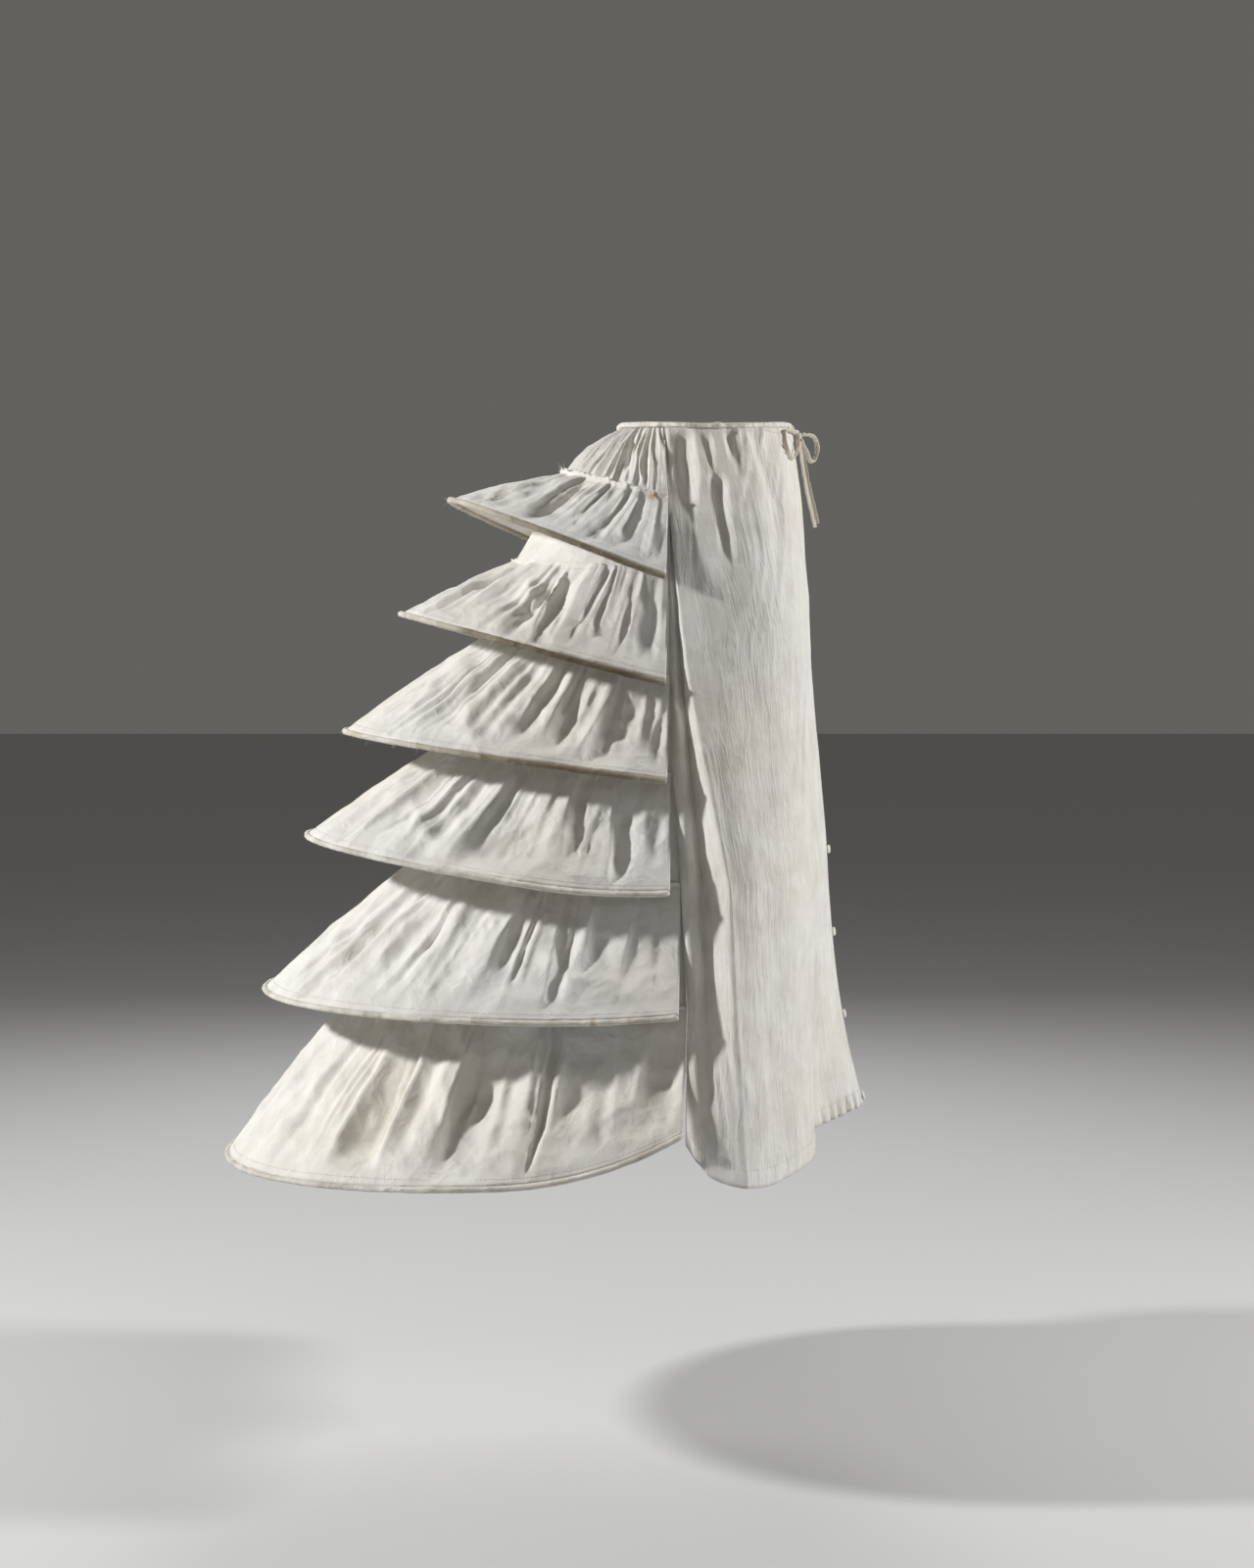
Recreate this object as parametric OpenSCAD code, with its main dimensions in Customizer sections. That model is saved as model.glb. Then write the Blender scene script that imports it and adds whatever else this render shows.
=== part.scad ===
// Tiered bustle petticoat: gathered cotton flounces held out by steel hoops,
// sewn to a back panel and a buttoned front that hang from a drawstring waist.
// +X is the wearer's front, +Z is up, and the origin is the middle of the waist.

/* [Waist] */
// Front-to-back size of the waist opening
waist_depth = 172; // [160:1:190]
// Side-to-side size of the waist opening
waist_width = 216; // [200:1:235]
// How far the waist line dips at the sides
waist_dip = 8; // [0:1:14]
// Height of the waist tape, which is folded over the drawstring
tape_height = 9; // [8:0.5:12]
// Depth of the waist tape from inside to outside
tape_depth = 5; // [4.5:0.25:6.5]
// Cloth wall of the waist tape
tape_wall = 1.2; // [0.8:0.1:1.4]
// Gap between the two ends of the waist tape at the front
tape_opening = 10; // [8:1:14]
// Width of the drawstring
string_width = 5; // [4:0.25:5.5]
// Thickness of the drawstring
string_thick = 1.4; // [1:0.1:1.6]

/* [Hoops] */
// Diameter of the spring steel wire
wire_d = 2.6; // [2.2:0.1:3.2]
// Cloth wall of the casing round the wire
casing_wall = 1.4; // [1:0.1:2]
// Bend radius of the top hoop
hoop_radius_top = 181; // [172:1:190]
// Bend radius of the bottom hoop
hoop_radius_bottom = 290; // [275:1:310]
// Reach of the top hoop behind the middle of the waist
hoop_reach_top = 259; // [250:1:270]
// Reach of the bottom hoop behind the middle of the waist
hoop_reach_bottom = 486; // [465:1:510]
// Drop of the top hoop's back below the waist
hoop_drop_top = 75; // [65:1:85]
// Drop of the bottom hoop's back below the waist
hoop_drop_bottom = 735; // [710:1:770]
// Angle at which the top hoop falls towards the front
hoop_fall_top = 21.6; // [18:0.2:24]
// Angle at which the bottom hoop falls towards the front, negative where it rises
hoop_fall_bottom = -2.2; // [-4:0.2:0]
// Upward curl of the bottom hoop's two ends
hoop_curl = 43; // [30:1:50]

/* [Flounces] */
// Thickness of the cotton cloth
cloth_thick = 1; // [0.8:0.1:1.4]
// Number of gathers in each flounce
gathers = 16; // [12:1:18]
// Height of a gather where it is fullest
gather_height = 11; // [6:0.5:13]
// Distance of a flounce's sewn edge inside the hoop above, at the sides
side_tuck = 32; // [26:1:38]
// Height of a flounce's sewn edge above the end of the hoop above
seam_lift = 5; // [2:1:10]

/* [Yoke] */
// Reach of the yoke's lower edge behind the middle of the waist
yoke_reach = 144; // [138:1:152]
// Drop of the yoke's lower edge at the back
yoke_drop = 50; // [45:1:58]
// Drop of the yoke's lower edge at the sides
yoke_side_drop = 83; // [76:1:90]
// Half of the yoke's width at its lower edge
yoke_half_width = 138; // [134:1:142]
// Height of a gather in the yoke
yoke_gather_height = 3.2; // [1.5:0.1:4]

/* [Front] */
// Reach of the front hem ahead of the middle of the waist
front_reach = 161; // [150:1:175]
// Reach of the front panels to each side at the hem
side_reach = 292; // [284:1:305]
// Drop of the hem at the middle of the front
front_drop = 691; // [670:1:715]
// Drop of the hem at the sides, where it is longest
side_drop = 724; // [705:1:740]
// Drop of the hem at the side seam
seam_drop = 684; // [672:1:690]
// Position of the side seam behind the middle of the waist, at the top
seam_back_top = 39; // [35:1:43]
// Position of the side seam behind the middle of the waist, at the hem
seam_back_bottom = 23; // [19:1:27]
// Width by which the right front panel laps the left
front_lap = 18; // [14:1:24]
// Diameter of a button
button_d = 9; // [7:0.5:11]
// Thickness of a button
button_thick = 2.6; // [2:0.1:3.5]
// Spacing of the buttons along the front
button_pitch = 84.7; // [75:0.1:88]
// Drop of the lowest button below the waist
button_drop = 682; // [670:1:685]

/* [Hidden] */
$fn = 48;

cotton = "ivory";
tape_cotton = "linen";
steel = "slategray";

// Gap left between pieces that are sewn together
seam_gap = 0.4;
// Radial room for the wire in its casing
wire_clearance = 0.3;
casing_r = wire_d / 2 + wire_clearance + casing_wall;

// Where each hoop lies between the top one and the bottom one
reach_shares = [0, 0.22, 0.47, 0.64, 0.83, 1];
drop_shares = [0, 0.174, 0.353, 0.512, 0.747, 1];
radius_shares = [0, 0.155, 0.318, 0.545, 0.773, 1];
fall_shares = [0, 0.273, 0.57, 0.54, 0.85, 1];
curl_shares = [0.03, 0.03, 0.03, 0.3, 0.2, 1];
seam_x_shares = [0, 0, 0.06, 0.1, 0.69, 1];
tiers = len(reach_shares);

// How far each flounce's sewn edge is tucked in under the hoop above, as shares
// of that hoop's radius, and how far below it, as shares of the step to the next hoop
back_tuck_shares = [0.361, 0.503, 0.53, 0.488, 0.34];
drop_tuck_shares = [0.55, 0.136, 0.067, 0.155, 0.072];

// Small shared helpers
function mix(a, b, share) = a + (b - a) * share;
function unit(v) = v / norm(v);
function clamp(x) = max(0, min(1, x));
// Value of a table at a share of its length, joined by straight lines
function along(table, share) =
    let (x = clamp(share) * (len(table) - 1), i = min(floor(x), len(table) - 2))
    mix(table[i], table[i + 1], x - i);
// Point of a smooth curve through a list of points, at a share of its length
function curve(points, share) =
    let (n = len(points) - 1, x = clamp(share) * n, i = min(floor(x), n - 1), t = x - i,
         p1 = points[i], p2 = points[i + 1],
         p0 = i > 0 ? points[i - 1] : 2 * p1 - p2,
         p3 = i + 2 <= n ? points[i + 2] : 2 * p2 - p1)
    p1 + (p2 - p0) * t / 2 + (2 * p0 - 5 * p1 + 4 * p2 - p3) * t * t / 2
       + (3 * p1 - p0 - 3 * p2 + p3) * t * t * t / 2;

// Hoops: a half circle in a tilted plane, whose ends run on to the side seam
function hoop_reach(i) = mix(hoop_reach_top, hoop_reach_bottom, reach_shares[i]);
function hoop_drop(i) = mix(hoop_drop_top, hoop_drop_bottom, drop_shares[i]);
function hoop_radius(i) = mix(hoop_radius_top, hoop_radius_bottom, radius_shares[i]);
function hoop_fall(i) = mix(hoop_fall_top, hoop_fall_bottom, fall_shares[i]);
function hoop_curl_of(i) = hoop_curl * curl_shares[i];
function seam_x(i) = -mix(seam_back_top, seam_back_bottom, seam_x_shares[i]);
function hoop_end_run(i) =
    (hoop_reach(i) + seam_x(i) - casing_r - seam_gap) / cos(hoop_fall(i)) - hoop_radius(i);
function curl_radius(i) =
    (pow(hoop_end_run(i), 2) + pow(hoop_curl_of(i), 2)) / (2 * hoop_curl_of(i));
function curl_angle(i) = asin(hoop_end_run(i) / curl_radius(i));

// Point on a hoop's middle line: side is -1 at the right end, 0 at the back, 1 at the left end
function hoop_point(i, side) =
    let (r = hoop_radius(i), f = hoop_fall(i), v = curl_radius(i),
         bend = PI * r / 2, tail = v * curl_angle(i) * PI / 180,
         s = abs(side) * (bend + tail), hand = sign(side),
         a = s < bend ? s / r * 180 / PI : 90,
         b = s < bend ? 0 : (s - bend) / v * 180 / PI,
         x = r - r * cos(a) + v * sin(b), y = hand * r * sin(a), z = v * (1 - cos(b)))
    [-hoop_reach(i) + x * cos(f) + z * sin(f), y, -hoop_drop(i) - x * sin(f) + z * cos(f)];

// Sewn edges of the flounces: half ellipses on the back panel
function edge_depth(i) = i == 0 ? yoke_reach + seam_x(0)
    : hoop_reach(i - 1) + seam_x(i) - back_tuck_shares[i - 1] * hoop_radius(i - 1);
function edge_half_width(i) = i == 0 ? yoke_half_width : hoop_radius(i - 1) - side_tuck;
function edge_back_z(i) = i == 0 ? -yoke_drop
    : -mix(hoop_drop(i - 1), hoop_drop(i), drop_tuck_shares[i - 1]);
function edge_side_z(i) = i == 0 ? -yoke_side_drop : hoop_point(i - 1, 1).z + seam_lift;
// A point on a sewn edge, moved outwards by out
function edge_point(i, side, out = 0) =
    let (a = 90 * side)
    [seam_x(i) - seam_gap / 2 - (edge_depth(i) + out) * cos(a), (edge_half_width(i) + out) * sin(a),
     mix(edge_side_z(i), edge_back_z(i), cos(a))];

// Waist line: an ellipse that dips at the sides, with turn measured from the back
function waist_point(turn, out = 0) =
    [-(waist_depth / 2 + out) * cos(turn), (waist_width / 2 + out) * sin(turn),
     -waist_dip * pow(sin(turn), 2)];

// Cloth: a closed sheet of even thickness on a grid of points, outside first
function grid_normal(g, r, c) =
    let (down = g[min(r + 1, len(g) - 1)][c] - g[max(r - 1, 0)][c],
         across = g[r][min(c + 1, len(g[0]) - 1)] - g[r][max(c - 1, 0)])
    unit(cross(down, across));
module cloth(g, thick) {
    rows = len(g);
    cols = len(g[0]);
    back = rows * cols;
    outside = [for (r = [0:rows - 1]) for (c = [0:cols - 1]) g[r][c] + grid_normal(g, r, c) * thick / 2];
    inside = [for (r = [0:rows - 1]) for (c = [0:cols - 1]) g[r][c] - grid_normal(g, r, c) * thick / 2];
    skin = [for (r = [0:rows - 2]) for (c = [0:cols - 2])
        let (p = r * cols + c) each [[p, p + 1, p + cols], [p + 1, p + cols + 1, p + cols]]];
    lining = [for (f = skin) [f[2] + back, f[1] + back, f[0] + back]];
    rim = concat(
        [for (c = [0:cols - 2]) [c + 1, c]],
        [for (c = [0:cols - 2]) let (p = (rows - 1) * cols + c) [p, p + 1]],
        [for (r = [0:rows - 2]) [r * cols, (r + 1) * cols]],
        [for (r = [0:rows - 2]) let (p = r * cols + cols - 1) [p + cols, p]]);
    edges = [for (e = rim) each [[e[0], e[1], e[1] + back], [e[0], e[1] + back, e[0] + back]]];
    polyhedron(concat(outside, inside), concat(skin, lining, edges), convexity = 10);
}

// A band swept along points: each ring is given as its own corner points
module band(rings) {
    n = len(rings[0]);
    last = (len(rings) - 1) * n;
    walls = [for (r = [0:len(rings) - 2]) for (c = [0:n - 1])
        let (p = r * n + c, q = r * n + (c + 1) % n) each [[p, q, p + n], [q, q + n, p + n]]];
    caps = [[for (c = [n - 1:-1:0]) c], [for (c = [0:n - 1]) last + c]];
    polyhedron([for (ring = rings) each ring], concat(walls, caps), convexity = 10);
}

// Waist tape and drawstring
tape_turns = 32;
tape_end_turn = 180 - asin(tape_opening / waist_width);
// Corner points of a band's section at one turn of the waist, hand-sized by depth and height
function waist_ring(turn, depth, height) =
    let (p = waist_point(turn), out = unit(waist_point(turn, tape_depth) - p) * depth / 2,
         up = [0, 0, height / 2])
    [p + out + up, p + out - up, p - out - up, p - out + up];
function waist_rings(end_turn, depth, height) =
    [for (i = [0:tape_turns]) waist_ring(mix(-end_turn, end_turn, i / tape_turns), depth, height)];
module waist_tape() {
    outer = waist_rings(tape_end_turn, tape_depth, tape_height);
    inner = waist_rings(tape_end_turn, tape_depth - 2 * tape_wall, tape_height - 2 * tape_wall);
    n = len(outer[0]);
    count = len(outer) * n;
    last = count - n;
    walls = [for (r = [0:tape_turns - 1]) for (c = [0:n - 1])
        let (p = r * n + c, q = r * n + (c + 1) % n) each [[p, q, p + n], [q, q + n, p + n]]];
    bore = [for (f = walls) [f[2] + count, f[1] + count, f[0] + count]];
    caps = [for (c = [0:n - 1]) let (d = (c + 1) % n) each [
        [d, c, d + count], [c, c + count, d + count],
        [last + c, last + d, last + d + count], [last + c, last + d + count, last + c + count]]];
    color(cotton) polyhedron([for (ring = concat(outer, inner)) each ring],
                             concat(walls, bore, caps), convexity = 10);
}
// The drawstring runs round inside the tape and out to the knot
knot_d = 8;
knot_height = 10;
knot_stand = 2.5;
knot_center = [waist_depth / 2 + tape_depth / 2 + knot_d / 2 + knot_stand, 0, -knot_height];
// Corner points of the string at a point, with its flat side facing out
function string_section(p, out) =
    let (o = out * string_thick / 2, up = [0, 0, string_width / 2])
    [p + o + up, p + o - up, p - o - up, p - o + up];
// The string's last rings, on the side given by hand: out of the tape, then on to the knot
function string_end(hand) =
    let (seat = knot_center + [-knot_d / 2 - seam_gap, hand * string_thick, string_thick],
         leave = waist_point(tape_end_turn),
         turn = [mix(leave.x, seat.x, 0.7), hand * mix(leave.y, seat.y, 0.5), mix(leave.z, seat.z, 0.22)])
    [string_section(turn, unit([1, hand, 0])), string_section(seat, [0, hand, 0])];
module drawstring() {
    right = string_end(-1);
    left = string_end(1);
    color(tape_cotton) band(concat([right[1], right[0]],
        waist_rings(tape_end_turn, string_thick, string_width), left));
}

// The bow: a knot with two loops and two hanging tails of the same string.
// Each route starts and ends on the knot, and is measured from the knot's middle.
loop_right_route = [[-1, -4, 3], [-2, -14, 3], [-4, -24, 3], [-7, -34, 2], [-11, -44, 2], [-15, -54, 2],
                    [-18, -62, -2], [-18, -67, -9], [-16, -67, -17], [-13, -62, -23], [-9, -54, -26],
                    [-6, -45, -24], [-4, -35, -19], [-2, -24, -13], [-1, -14, -8], [-1, -4, -3]];
loop_left_route = [[3, 3, 3], [7, 11, 3], [11, 20, 4], [15, 28, 4], [19, 35, 2], [22, 41, -4], [22, 42, -12],
                   [20, 38, -19], [17, 31, -23], [13, 23, -21], [10, 16, -15], [6, 9, -9], [3, 3, -3]];
tail_right_route = [[1, -2.2, -5], [2, -3.2, -14], [4, -4, -28], [7, -4, -46], [10, -4, -62],
                    [14, -5, -79], [17, -5, -92]];
tail_left_route = [[1, 2.2, -5], [4, 2.4, -15], [7, 2, -28], [10, 2, -45], [14, 2, -62], [20, 1, -88]];
string_sides = 8;
loop_steps = 23;
tail_steps = 9;
// Corner points of the flat string at a share of the way along its route
function string_ring(route, s, h, width_axis) =
    let (p = curve(route, s), ahead = unit(curve(route, s + h) - curve(route, s - h)),
         w = unit(width_axis - ahead * (width_axis * ahead)), n = cross(ahead, w))
    [for (k = [0:string_sides - 1]) let (a = -360 * (k + 0.5) / string_sides)
        knot_center + p + w * cos(a) * string_width / 2 + n * sin(a) * string_thick / 2];
module string_piece(route, width_axis, steps) {
    color(tape_cotton) band([for (i = [0:steps]) string_ring(route, i / steps, 1 / steps / 2, width_axis)]);
}
// Directions that the string's width lies along, one for each piece
loop_right_width = [0.7, -0.3, 0.6];
loop_left_width = [0.8, -0.2, 0.5];
tail_right_width = [0.8, 0.6, 0];
tail_left_width = [0.8, -0.6, 0];
module bow_loop_right() {
    string_piece(loop_right_route, loop_right_width, loop_steps);
}
module bow_loop_left() {
    string_piece(loop_left_route, loop_left_width, loop_steps);
}
module tie_tail_right() {
    string_piece(tail_right_route, tail_right_width, tail_steps);
}
module tie_tail_left() {
    string_piece(tail_left_route, tail_left_width, tail_steps);
}
module bow_knot() {
    // An egg-shaped wrap, drawn tight
    half = knot_height / 2;
    color(tape_cotton) translate(knot_center)
        rotate_extrude() polygon([for (a = [-90:15:90]) [knot_d / 2 * cos(a), half * sin(a)]]);
}

// Drop of the cloth's upper edge below the middle of the tape
hang_drop = tape_height / 2 + seam_gap + cloth_thick / 2;

// Yoke: gathered between the waist tape and the first flounce
yoke_half_turn = 60;
yoke_steps = [0, 0.35, 0.7, 1];
samples_per_gather = 4;
gather_swell_shares = [0.55, 1, 0.85, 0.35];
columns = gathers * samples_per_gather;
// Waving of the gathers: a ridge, a slope, a valley, a slope, of changing height,
// flat at the side seams
function gather_wave(side) =
    let (turn = 180 * gathers * side)
    (0.72 + 0.28 * sin(turn * 0.37 + 40)) * cos(turn) * (1 - pow(side, 8));
function yoke_point(side, share) =
    let (out = tape_depth / 2 - cloth_thick,
         top = waist_point(side * yoke_half_turn, out) - [0, 0, hang_drop],
         foot = edge_point(0, side) + [0, 0, seam_gap + cloth_thick / 2],
         p = mix(top, foot, share),
         away = unit([p.x - seam_x(0), p.y, 0]))
    p + away * yoke_gather_height * gather_wave(side) * curve(gather_swell_shares, share) * sin(180 * share);
module yoke() {
    color(cotton) cloth([for (v = yoke_steps) [for (c = [0:columns])
        yoke_point(2 * c / columns - 1, v)]], cloth_thick);
}

// Back panel: carries the sewn edges of the flounces, one band between each two
module back_panel() {
    panel_columns = columns / 2;
    color(cotton) cloth([for (i = [0:tiers - 1]) [for (c = [0:panel_columns])
        edge_point(i, 2 * c / panel_columns - 1) - [0, 0, cloth_thick / 2]]], cloth_thick);
}

// Flounces: gathered at the sewn edge, drawn smooth at the hoop
flounce_steps = [0, 0.3, 0.65, 1];
flounce_swell_shares = [0.5, 1, 0.75, 0.1];
function flounce_point(i, side, share) =
    let (top = edge_point(i, side, cloth_thick + gather_height * flounce_swell_shares[0] / 2),
         rim = hoop_point(i, side), up = unit(top - rim),
         foot = rim + up * (casing_r + seam_gap * 1.5),
         flat = mix(top, foot, share),
         across = unit(hoop_point(i, side + 0.01) - hoop_point(i, side - 0.01)),
         away = unit(cross(across, up)),
         swell = curve(flounce_swell_shares, share) * (1 - pow(share, 6)))
    flat - away * gather_height * swell * gather_wave(side) / 2;
module flounce(i) {
    color(cotton) cloth([for (v = flounce_steps) [for (c = [0:columns])
        flounce_point(i, 2 * c / columns - 1, v)]], cloth_thick);
}

// Steel and casing share one path: the half circle and its two curled ends
module along_hoop(i) {
    r = hoop_radius(i);
    v = curl_radius(i);
    translate([-hoop_reach(i), 0, -hoop_drop(i)]) rotate([0, hoop_fall(i), 0]) translate([r, 0, 0]) {
        rotate([0, 0, 90]) rotate_extrude(angle = 180) translate([r, 0]) children();
        for (hand = [-1, 1])
            translate([0, hand * r, v]) rotate([90, 0, 0]) rotate([0, 0, -90])
                rotate_extrude(angle = curl_angle(i)) translate([v, 0]) children();
    }
}
module hoop_casing(i) {
    color(tape_cotton) along_hoop(i) difference() {
        circle(casing_r);
        circle(casing_r - casing_wall);
    }
}
module hoop_steel(i) {
    color(steel) along_hoop(i) circle(wire_d / 2);
}

// Front panels: lofted through plan outlines at the waist, hip, knee and hem.
// Each outline runs from the side seam to the middle of the front, as shares of
// the reach to the front and to the side at that height.
waist_outline_shares = [[-0.5, 0.866], [-0.48, 0.878], [-0.46, 0.888], [-0.44, 0.898], [-0.276, 0.961],
                        [0.2, 0.98], [0.64, 0.768], [0.9, 0.436], [1, 0]];
hip_outline_shares = [[-0.36, 0.845], [-0.33, 0.885], [-0.28, 0.865], [-0.215, 0.985], [0.2, 0.975],
                      [0.58, 0.9], [0.87, 0.7], [0.97, 0.36], [1, 0]];
knee_outline_shares = [[-0.33, 0.85], [-0.18, 0.92], [-0.06, 0.85], [0.05, 0.99], [0.4, 0.945],
                       [0.68, 0.76], [0.83, 0.53], [0.91, 0.27], [1, 0]];
hem_outline_shares = [[-0.14, 0.955], [-0.08, 0.978], [0, 0.992], [0.1, 1], [0.37, 0.915],
                      [0.58, 0.73], [0.61, 0.48], [0.68, 0.25], [1, 0]];
outline_shares = [waist_outline_shares, hip_outline_shares, knee_outline_shares, hem_outline_shares];
outline_heights_shares = [0, 0.28, 0.62, 1];
// Reach to the front and to the side at even steps from the waist to the hem
front_reach_shares = [0.55, 0.611, 0.64, 0.66, 0.693, 0.73, 0.765, 0.79, 0.83, 0.898, 1];
side_reach_shares = [0.378, 0.49, 0.575, 0.635, 0.69, 0.745, 0.8, 0.85, 0.9, 0.95, 1];
// Drop of the hem along the outline, between the three drops that are given
hem_drop_shares = [0, 0.5, 0.85, 1, 1, 0.52, 0.2, 0.1, 0];

panel_columns = 23;
panel_steps = 9;
// Share of the outline at which the two panels start to part for the lap
lap_start_share = 0.8;

// Outline share at a height, taken between the two nearest outlines
function outline_at(k, share) =
    let (h = outline_heights_shares, i = share < h[1] ? 0 : share < h[2] ? 1 : 2)
    mix(outline_shares[i][k], outline_shares[i + 1][k], (share - h[i]) / (h[i + 1] - h[i]));
function front_at(share) = mix(waist_depth / 2, front_reach,
    (curve(front_reach_shares, share) - front_reach_shares[0]) / (1 - front_reach_shares[0]));
function side_at(share) = mix(waist_width / 2, side_reach,
    (curve(side_reach_shares, share) - side_reach_shares[0]) / (1 - side_reach_shares[0]));
// The side seam runs down the ends of the sewn edges, then to the end of the bottom hoop
seam_line = concat(
    [yoke_point(1, 0)],
    [for (i = [0:tiers - 1]) edge_point(i, 1)],
    [hoop_point(tiers - 1, 1) + [casing_r / 2, -casing_r - seam_gap, 0]]);
function seam_at(z) =
    let (above = [for (i = [0:len(seam_line) - 2]) if (seam_line[i].z >= z) i],
         i = len(above) > 0 ? above[len(above) - 1] : 0, a = seam_line[i], b = seam_line[i + 1])
    mix(a, b, (z - a.z) / (b.z - a.z));
hem_drops = [for (k = [0:len(hem_drop_shares) - 1])
    mix(k < 4 ? seam_drop : front_drop, side_drop, hem_drop_shares[k])];
// Height of a front panel's point: its top follows the dip of the tape
waist_side_shares = [for (p = waist_outline_shares) p.y];
function panel_z(turn_share, share) =
    mix(-hang_drop - waist_dip * pow(curve(waist_side_shares, turn_share), 2),
        -curve(hem_drops, turn_share), share);
// A point of the left half of the front: turn_share is 0 at the side seam and 1 at the middle
function half_front_point(turn_share, share) =
    let (z = panel_z(turn_share, share), seam = seam_at(panel_z(0, share)),
         fx = front_at(share), fy = side_at(share),
         last = len(waist_outline_shares) - 1,
         outline = [for (k = [0:last]) k == 0 ? [seam.x + seam_gap + cloth_thick, seam.y]
             : let (o = outline_at(k, share)) [o.x * fx, o.y * fy + (k == last ? front_lap / 2 : 0)]],
         p = curve(outline, turn_share))
    [p.x, p.y, z];
// A point of one front panel, which ends in a flat strip that laps the other panel;
// layer is 1 for the panel on top and -1 for the one beneath
function front_point(layer, turn_share, share) =
    let (p = half_front_point(turn_share, share),
         part = clamp((turn_share - lap_start_share) / (1 - lap_start_share)))
    [p.x + layer * (cloth_thick + seam_gap) / 2 * part, p.y, p.z];
function lap_point(layer, share) =
    let (p = front_point(layer, 1, share)) [p.x, -p.y, p.z];
module front_half(layer) {
    cloth([for (r = [0:panel_steps]) let (v = r / panel_steps) concat(
        [for (c = [0:panel_columns]) front_point(layer, c / panel_columns, v)],
        [lap_point(layer, v)])], cloth_thick);
}
module front_panel_left() {
    color(cotton) front_half(-1);
}
module front_panel_right() {
    color(cotton) mirror([0, 1, 0]) front_half(1);
}

// Buttons: flat cloth-covered discs down the lower front
button_count = 4;
button_edge_share = 0.35;
function button_share(k) = (button_drop - k * button_pitch) / front_drop;
module button() {
    edge = button_thick * button_edge_share;
    rotate_extrude() polygon(concat(
        [[0, 0]],
        [for (a = [-90:30:0]) [button_d / 2 - edge + edge * cos(a), edge + edge * sin(a)]],
        [[button_d / 2 - edge, button_thick - edge / 2], [0, button_thick]]));
}
// Each button lies flat on the lap, between two rows of the panel's points
module buttons() {
    for (k = [0:button_count - 1]) {
        row = button_share(k) * panel_steps;
        above = front_point(1, 1, floor(row) / panel_steps);
        below = front_point(1, 1, (floor(row) + 1) / panel_steps);
        seat = mix(above, below, row - floor(row));
        rise = above - below;
        lean = atan2(-rise.x, rise.z);
        color(tape_cotton) translate([seat.x, 0, seat.z]) rotate([0, 90 - lean, 0])
            translate([0, 0, cloth_thick / 2 + seam_gap]) button();
    }
}

waist_tape();
drawstring();
bow_knot();
bow_loop_right();
bow_loop_left();
tie_tail_right();
tie_tail_left();
yoke();
back_panel();
for (i = [0:tiers - 1]) {
    flounce(i);
    hoop_casing(i);
    hoop_steel(i);
}
front_panel_right();
front_panel_left();
buttons();
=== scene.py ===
# %% [markdown]
# # A tiered bustle, dressed over its frame
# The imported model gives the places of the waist, hoops, panels and bow. This
# lesson dresses each of them: cotton that is gathered and hangs in folds, tape
# folded round steel, and a drawstring tied in a bow. The frame is loaded first,
# so that all pieces are made in its axes and in metres.

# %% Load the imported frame
import bpy
import numpy as np
from math import pi, radians
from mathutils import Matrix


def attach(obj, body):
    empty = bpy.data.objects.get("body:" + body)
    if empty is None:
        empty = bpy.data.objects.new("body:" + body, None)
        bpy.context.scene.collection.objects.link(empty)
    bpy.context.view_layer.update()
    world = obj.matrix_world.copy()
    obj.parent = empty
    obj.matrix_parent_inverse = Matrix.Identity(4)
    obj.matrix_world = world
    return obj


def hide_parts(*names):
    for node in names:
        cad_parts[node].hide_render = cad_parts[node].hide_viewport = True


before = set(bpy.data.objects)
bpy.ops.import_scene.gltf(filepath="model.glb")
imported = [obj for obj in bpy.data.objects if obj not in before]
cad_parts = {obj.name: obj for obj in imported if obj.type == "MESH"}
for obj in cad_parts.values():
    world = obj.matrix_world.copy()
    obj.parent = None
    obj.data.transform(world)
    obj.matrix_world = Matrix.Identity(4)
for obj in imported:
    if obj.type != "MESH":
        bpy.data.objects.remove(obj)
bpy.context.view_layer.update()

# %% [markdown]
# ## Sizes
# The bustle is cut from a few sizes: the waist, the top and the bottom hoop, the
# yoke and the front hem. Its lines could be read back from the solid model's
# points, but those don't know which line is a seam and which a hoop. So the
# same sizes are set here, and the other hoops lie at shares of the way from the
# top one to the bottom one.

# %% Driving sizes
WAIST_DEPTH, WAIST_WIDTH, WAIST_DIP = 0.172, 0.216, 0.008
TAPE_HEIGHT, TAPE_DEPTH, TAPE_OPENING = 0.009, 0.005, 0.010
STRING_WIDTH, STRING_THICK = 0.005, 0.0014
CASING_R, SEAM_GAP = 0.003, 0.0004
SIDE_TUCK, SEAM_LIFT = 0.032, 0.005
YOKE_REACH, YOKE_DROP, YOKE_SIDE_DROP, YOKE_HALF_WIDTH = 0.144, 0.050, 0.083, 0.138
FRONT_REACH, SIDE_REACH = 0.161, 0.292
FRONT_DROP, SIDE_DROP, SEAM_DROP, FRONT_LAP = 0.691, 0.724, 0.684, 0.018
TOP_REACH, BOTTOM_REACH = 0.259, 0.486
TOP_DROP, BOTTOM_DROP = 0.075, 0.735
TOP_RADIUS, BOTTOM_RADIUS = 0.181, 0.290
TOP_FALL, BOTTOM_FALL = 21.6, -2.2
END_CURL = 0.043
TOP_SEAM, BOTTOM_SEAM = 0.039, 0.023

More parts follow.
